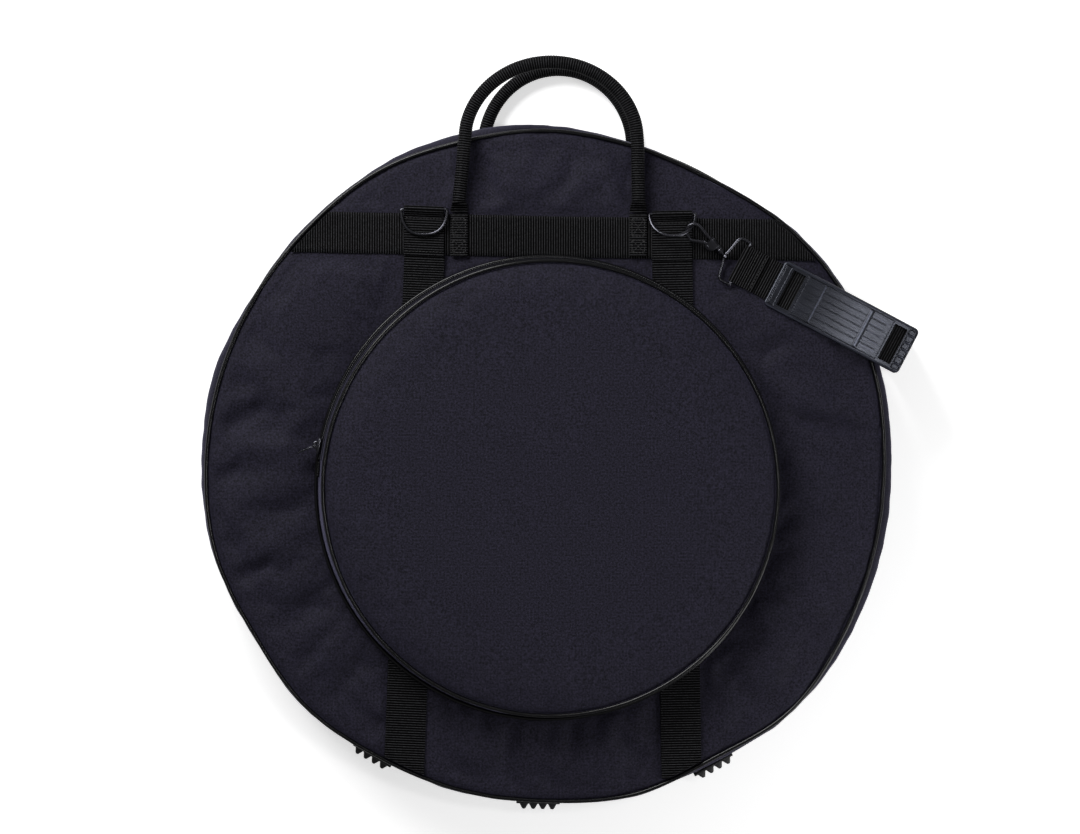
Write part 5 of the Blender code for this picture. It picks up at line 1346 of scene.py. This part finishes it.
def turned(profile, matrix):
    """Body spun from (distance along, radius) pairs round the matrix's first axis."""
    made = bmesh.new()
    rows = len(profile) - 1
    bmesh.ops.create_grid(made, x_segments=20, y_segments=rows, size=0.5)
    for vert in made.verts:
        along, radius = profile[round((vert.co.y + 0.5) * rows)]
        angle = (vert.co.x + 0.5) * TURN
        vert.co = Vector((along, radius * cos(angle), radius * sin(angle)))
    bmesh.ops.remove_doubles(made, verts=made.verts, dist=1e-7)
    bmesh.ops.recalc_face_normals(made, faces=made.faces)
    bmesh.ops.transform(made, matrix=matrix, verts=made.verts)
    return made


GATE_SHAPE = (
    (20.5, 6.9), (18.5, 7.6), (15.5, 7.2), (12.5, 9.2), (9.4, 12.4), (6.8, 14.9), (4.4, 15.9), (2.2, 15.7),
    (2.2, 13.6), (4.6, 13.2), (7.0, 11.2), (9.6, 8.4), (12.4, 5.6), (15.6, 3.9), (18.6, 3.3), (20.6, 4.6),
)


def hooks():
    """Swivel snap hooks: bent eye, block with its rivet and sprung gate, barrel, and the wire loop behind."""
    metal = finish("black nickel")
    snap_ahead = Vector((0.641188, -0.72729, -0.244798))
    snap_third = Vector((0.102391, 0.397235, -0.911987))
    for name, body, neck, ahead, gate_way in (
        ("snap_hook", "lid", Vector((0.1643, 0.193688, 0.0955)), snap_ahead, snap_third.cross(snap_ahead)),
        ("end_hook", "tray", Vector((0.144834, 0.203938, 0.0068)), STRAP_ALONG, STRAP_SIDE),
    ):
        frame_at = axes(neck - ahead.normalized() * 0.036, ahead, gate_way)

        def at(p, q, frame_at=frame_at):
            return frame_at @ Vector((p * MM, q * MM, 0.0))
        bow = [at(26.0, 0.0), at(20.0, 0.0), at(12.0, 0.0), at(5.0, 0.0)]
        bow += [at(7.2 * cos(radians(d)), 7.2 * (1.0 + sin(radians(d))))
                for d in (270, 250, 230, 210, 190, 170, 150, 130, 110, 90)]
        bow.append(at(1.6, 14.4))
        hook = rod(curve_through(bow, 8), 0.0016, 16, 0.0008)
        for half_way in (-1.0, 1.0):
            cheek = [(15.4, -2.4), (24.6, -2.6), (24.9, 4.0), (23.0, 8.2), (18.0, 8.5), (15.2, 6.0)]
            matrix = frame_at @ Matrix.Translation((0.0, 0.0, half_way * 0.0027))
            into(hook, plate_of([(p * MM, q * MM) for p, q in cheek], 0.0007, matrix, 0.0004))
        block = frame_at @ Matrix.Translation((0.0231, 0.0029, 0.0))
        into(hook, boxed((0.0036, 0.0105, 0.0056), block, 0.0009, 2))
        barrel = [(0.0242, 0.0), (0.0242, 0.0024), (0.0248, 0.0030), (0.0262, 0.0030), (0.0266, 0.0026),
                  (0.0274, 0.0026), (0.0278, 0.0030), (0.0316, 0.0030), (0.0323, 0.0024), (0.0323, 0.0)]
        into(hook, turned(barrel, frame_at))
        piece(name + "_frame", hook, metal, name, name + "_body", sharp=35.0)
        rivet = axes(at(18.5, 5.4), frame_at.col[2].to_3d(), frame_at.col[0].to_3d())
        dome = [(-0.0041, 0.0), (-0.0040, 0.0007), (-0.0036, 0.0012), (-0.0034, 0.0013), (0.0034, 0.0013),
                (0.0036, 0.0012), (0.0040, 0.0007), (0.0041, 0.0)]
        piece(name + "_rivet_head", turned(dome, rivet), metal, name, name + "_rivet", sharp=35.0)
        lever = [(p * MM, q * MM) for p, q in GATE_SHAPE]
        piece(name + "_gate_lever", plate_of(lever, 0.0014, frame_at, 0.0005), metal, name + "_gate",
              name + "_gate", sharp=35.0)
        far = neck + STRAP_ALONG * 0.0165
        ends = [(0.0, 1.0), (0.28, 1.02), (0.56, 1.01), (0.70, 0.94), (0.77, 0.80), (0.84, 0.52),
                (0.93, 0.22), (1.0, 0.05)]
        path = [far - STRAP_ALONG * 0.0165 * d + STRAP_SIDE * 0.0212 * w for d, w in ends]
        path += [far - STRAP_ALONG * 0.0165 * d - STRAP_SIDE * 0.0212 * w for d, w in reversed(ends)]
        bow = curve_through(path, 8)
        bow += [bow[-1].lerp(path[0], k / 16.0) for k in range(1, 17)]
        loop = rod(bow, 0.0014, 16, 0.0009, True)
        stem = [(0.0285, 0.0), (0.0285, 0.0013), (0.0345, 0.0013), (0.0350, 0.0024), (0.0360, 0.0030),
                (0.0372, 0.0028), (0.0383, 0.0018), (0.0389, 0.0)]
        into(loop, turned(stem, frame_at))
        piece(name + "_wire_loop", loop, metal, body, name + "_loop", sharp=35.0)


def adjuster():
    """Slide that shortens the strap, on the length folded under the bag."""
    metal = finish("black nickel")
    made = bmesh.new()
    low, high = 0.0011, 0.0086
    for across in (-0.0216, 0.0216):
        seat = axes(strap_point(0.045, (low + high) / 2.0, across), STRAP_ALONG, STRAP_SIDE)
        into(made, boxed((0.022, 0.0036, high - low), seat, 0.0007, 2))
    for s, z in ((0.0352, 0.0010), (0.045, 0.0010), (0.0548, 0.0010), (0.0352, 0.0087), (0.0548, 0.0087)):
        seat = axes(strap_point(s, z), STRAP_ALONG, STRAP_SIDE)
        into(made, boxed((0.0024, 0.044, 0.0013), seat, 0.0004, 2))
    piece("strap_slide", made, metal, "tray", "strap_adjuster", sharp=35.0)


def slider(name, centre, angle, height, face, pull_length, rest, way):
    """Zip slider with a rounded plate, an arched bridge and a tapered pull."""
    metal = finish("black nickel")
    out, along = outward(angle)
    along *= way
    seat = polar(centre, face + 0.0003, angle, height)
    across = along.cross(out)
    shape = [(-0.0079, -0.0036), (-0.0060, -0.0058), (0.0010, -0.0059), (0.0058, -0.0056), (0.0079, -0.0040),
             (0.0079, 0.0040), (0.0058, 0.0056), (0.0010, 0.0059), (-0.0060, 0.0058), (-0.0079, 0.0036)]
    plate = plate_of(shape, 0.0012, axes(seat + out * 0.0012, along, -across), 0.0006)
    arch = [seat + along * u + out * v for u, v in (
        (-0.0024, 0.0018), (-0.0026, 0.0040), (-0.0016, 0.0054), (0.0, 0.0056), (0.0016, 0.0054),
        (0.0026, 0.0040), (0.0024, 0.0018))]
    into(plate, rod(curve_through(arch, 5), 0.0012, 12, 0.0005, flat=0.5, up=across))
    piece(name + "_plate", plate, metal, name, name, sharp=35.0)
    bar = seat + out * 0.0042
    turn = Matrix.Rotation(rest * way, 3, across * way)
    reach, lift = turn @ along, turn @ out
    line = [(-0.0007, 0.0030), (pull_length * 0.45, 0.0044), (pull_length - 0.0012, 0.0030),
            (pull_length, 0.0016)]
    outline_points = [(u, -v) for u, v in line] + [(u, v) for u, v in reversed(line)]
    pull = bmesh.new()
    into(pull, plate_of(outline_points, 0.00065, axes(bar, reach, across), 0.0003))
    grip = pull_length * 0.5
    for k in range(5):
        u = grip + (k + 0.5) * (pull_length - grip - 0.003) / 5.0
        for face_way in (-1.0, 1.0):
            seat = axes(bar + reach * u + lift * 0.00075 * face_way, reach, across)
            into(pull, boxed((0.0008, 0.0050, 0.0004), seat, 0.00015, 1))
    piece(name + "_pull_tab", pull, metal, name + "_pull", name + "_pull", sharp=35.0)


def sliders():
    """Two sliders of the main zip, parked together, and the pocket's one."""
    face = ZIP_RADIUS + 0.0008 + 0.0023
    slider("main_slider_high", ZIP_CENTRE, radians(34.0), SEAM_Z, face, 0.028, 0.0, 1.0)
    slider("main_slider_low", ZIP_CENTRE, radians(29.5), SEAM_Z, face, 0.028, 0.0, -1.0)
    face = POCKET_WALL + 0.0003 + 0.0023
    centre = POCKET + RIGHT * lean(POCKET_SEAM_Z)
    slider("pocket_slider", centre, radians(169.5), POCKET_SEAM_Z, face, 0.018, radians(55.0), 1.0)


CAMERA_HEIGHT = 4.0
PICTURE_WIDTH = 1.00116


def studio():
    """Pale floor, soft light from the upper left, two small fills and the camera straight above."""
    floor = bpy.data.materials.new("seamless paper")
    floor.use_nodes = True
    shader = floor.node_tree.nodes["Principled BSDF"]
    shader.inputs["Base Color"].default_value = (*linear("#fcfcfc"), 1.0)
    shader.inputs["Roughness"].default_value = 0.85
    shader.inputs["Emission Color"].default_value = (1.0, 1.0, 1.0, 1.0)
    seen = add(floor.node_tree, "ShaderNodeLightPath").outputs["Is Camera Ray"]
    lift = add(floor.node_tree, "ShaderNodeMath", {0: seen, 1: 0.55}, operation="MULTIPLY").outputs[0]
    floor.node_tree.links.new(lift, shader.inputs["Emission Strength"])
    made = bmesh.new()
    bmesh.ops.create_grid(made, x_segments=1, y_segments=1, size=4.0)
    mesh = bpy.data.meshes.new("floor")
    made.to_mesh(mesh)
    made.free()
    mesh.materials.append(floor)
    ground = bpy.data.objects.new("floor", mesh)
    ground.location = (0.0, 0.0, -0.001)
    bpy.context.scene.collection.objects.link(ground)
    for name, width, height, power, place, aim in (
        ("softbox", 1.3, 0.9, 42.0, Vector((-0.95, 1.45, 1.35)), Vector((0.0, -0.05, 0.08))),
        ("low_softbox", 0.6, 0.4, 5.0, Vector((0.95, -0.65, 0.46)), Vector((0.05, -0.05, 0.08))),
        ("strip", 0.16, 0.5, 4.5, Vector((0.60, 0.06, 2.20)), Vector((0.27, 0.13, 0.09))),
    ):
        lamp = bpy.data.lights.new(name, "AREA")
        lamp.shape = "RECTANGLE"
        lamp.size, lamp.size_y = width, height
        lamp.energy = power
        light = bpy.data.objects.new(name, lamp)
        light.location = place
        light.rotation_euler = (place - aim).to_track_quat("Z", "Y").to_euler()
        bpy.context.scene.collection.objects.link(light)
    world = bpy.data.worlds.new("white studio")
    bpy.context.scene.world = world
    world.use_nodes = True
    tree = world.node_tree
    sky = tree.nodes["Background"]
    sky.inputs["Color"].default_value = (1.0, 1.0, 1.0, 1.0)
    ray = add(tree, "ShaderNodeLightPath").outputs["Is Camera Ray"]
    tree.links.new(ranged(tree, ray, 0.15, 1.0), sky.inputs["Strength"])
    data = bpy.data.cameras.new("camera")
    data.lens = 36.0 * (CAMERA_HEIGHT - FRONT_TOP) / PICTURE_WIDTH
    data.sensor_width = 36.0
    camera = bpy.data.objects.new("camera", data)
    camera.location = (-0.0065, 0.0445, CAMERA_HEIGHT)
    bpy.context.scene.collection.objects.link(camera)
    bpy.context.scene.camera = camera
    bpy.context.scene.view_settings.view_transform = "Standard"


class BAG_OT_panels(bpy.types.Operator):
    """Make the padded panels."""

    bl_idname = "bag.panels"
    bl_label = "Padded Panels"
    bl_options = {"REGISTER", "UNDO"}

    def execute(self, context):
        panels()
        return {"FINISHED"}


class BAG_OT_walls(bpy.types.Operator):
    """Make the padded walls."""

    bl_idname = "bag.walls"
    bl_label = "Padded Walls"
    bl_options = {"REGISTER", "UNDO"}

    def execute(self, context):
        walls()
        return {"FINISHED"}


class BAG_OT_pipings(bpy.types.Operator):
    """Make the piping in the seams of the bag and its pocket."""

    bl_idname = "bag.pipings"
    bl_label = "Seam Piping"
    bl_options = {"REGISTER", "UNDO"}

    def execute(self, context):
        pipings()
        return {"FINISHED"}


class BAG_OT_zips(bpy.types.Operator):
    """Make both zips' tapes and coils."""

    bl_idname = "bag.zips"
    bl_label = "Zips"
    bl_options = {"REGISTER", "UNDO"}

    def execute(self, context):
        zips()
        return {"FINISHED"}


class BAG_OT_pocket(bpy.types.Operator):
    """Make the pocket's face, walls and end tabs."""

    bl_idname = "bag.pocket"
    bl_label = "Front Pocket"
    bl_options = {"REGISTER", "UNDO"}

    def execute(self, context):
        pocket()
        return {"FINISHED"}


class BAG_OT_front_webbing(bpy.types.Operator):
    """Make the level band and the two long straps."""

    bl_idname = "bag.front_webbing"
    bl_label = "Band and Long Straps"
    bl_options = {"REGISTER", "UNDO"}

    def execute(self, context):
        front_webbing()
        return {"FINISHED"}


class BAG_OT_d_rings(bpy.types.Operator):
    """Make the bent-wire D-rings."""

    bl_idname = "bag.d_rings"
    bl_label = "D-Rings"
    bl_options = {"REGISTER", "UNDO"}

    def execute(self, context):
        d_rings()
        return {"FINISHED"}


class BAG_OT_handles(bpy.types.Operator):
    """Make both handles, their tabs and the rear band."""

    bl_idname = "bag.handles"
    bl_label = "Handles"
    bl_options = {"REGISTER", "UNDO"}

    def execute(self, context):
        handles()
        return {"FINISHED"}


class BAG_OT_feet(bpy.types.Operator):
    """Make the studded rubber feet."""

    bl_idname = "bag.feet"
    bl_label = "Rubber Feet"
    bl_options = {"REGISTER", "UNDO"}

    def execute(self, context):
        feet()
        return {"FINISHED"}


class BAG_OT_shoulder_strap(bpy.types.Operator):
    """Make the shoulder strap's webbing."""

    bl_idname = "bag.shoulder_strap"
    bl_label = "Shoulder Strap"
    bl_options = {"REGISTER", "UNDO"}

    def execute(self, context):
        shoulder_strap()
        return {"FINISHED"}


class BAG_OT_shoulder_pad(bpy.types.Operator):
    """Make the moulded shoulder pad."""

    bl_idname = "bag.shoulder_pad"
    bl_label = "Shoulder Pad"
    bl_options = {"REGISTER", "UNDO"}

    def execute(self, context):
        shoulder_pad()
        return {"FINISHED"}


class BAG_OT_hooks(bpy.types.Operator):
    """Make both swivel snap hooks."""

    bl_idname = "bag.hooks"
    bl_label = "Snap Hooks"
    bl_options = {"REGISTER", "UNDO"}

    def execute(self, context):
        hooks()
        return {"FINISHED"}


class BAG_OT_adjuster(bpy.types.Operator):
    """Make the slide that shortens the strap."""

    bl_idname = "bag.adjuster"
    bl_label = "Strap Slide"
    bl_options = {"REGISTER", "UNDO"}

    def execute(self, context):
        adjuster()
        return {"FINISHED"}


class BAG_OT_sliders(bpy.types.Operator):
    """Make the three zip sliders with their pulls."""

    bl_idname = "bag.sliders"
    bl_label = "Zip Sliders"
    bl_options = {"REGISTER", "UNDO"}

    def execute(self, context):
        sliders()
        return {"FINISHED"}


class BAG_OT_studio(bpy.types.Operator):
    """Make the floor, the lights and the camera."""

    bl_idname = "bag.studio"
    bl_label = "Studio"
    bl_options = {"REGISTER", "UNDO"}

    def execute(self, context):
        studio()
        return {"FINISHED"}


OPERATORS = (
    BAG_OT_panels, BAG_OT_walls, BAG_OT_pipings, BAG_OT_zips,
    BAG_OT_pocket, BAG_OT_front_webbing, BAG_OT_d_rings, BAG_OT_handles,
    BAG_OT_feet, BAG_OT_shoulder_strap, BAG_OT_shoulder_pad, BAG_OT_hooks,
    BAG_OT_adjuster, BAG_OT_sliders, BAG_OT_studio,
)


class BAG_PT_panel(bpy.types.Panel):
    """Sidebar panel that lists the steps."""

    bl_label = "Cymbal Bag"
    bl_idname = "BAG_PT_panel"
    bl_space_type = "VIEW_3D"
    bl_region_type = "UI"
    bl_category = "Cymbal Bag"

    def draw(self, context):
        layout = self.layout
        for name in BagSizes.__annotations__:
            layout.prop(context.scene.bag_sizes, name)
        for name in BagColours.__annotations__:
            layout.prop(context.scene.bag_colours, name)
        for made in OPERATORS:
            layout.operator(made.bl_idname)


CLASSES = (BagSizes, BagColours, *OPERATORS, BAG_PT_panel)


def register():
    for made in CLASSES:
        bpy.utils.register_class(made)
    bpy.types.Scene.bag_sizes = PointerProperty(type=BagSizes)
    bpy.types.Scene.bag_colours = PointerProperty(type=BagColours)


def unregister():
    del bpy.types.Scene.bag_colours
    del bpy.types.Scene.bag_sizes
    for made in reversed(CLASSES):
        bpy.utils.unregister_class(made)


def main():
    register()
    for made in OPERATORS:
        key = made.bl_idname.split(".")[1]
        if "FINISHED" not in getattr(bpy.ops.bag, key)():
            raise RuntimeError("a step did not finish: " + key)
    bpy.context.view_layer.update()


if __name__ == "__main__":
    main()
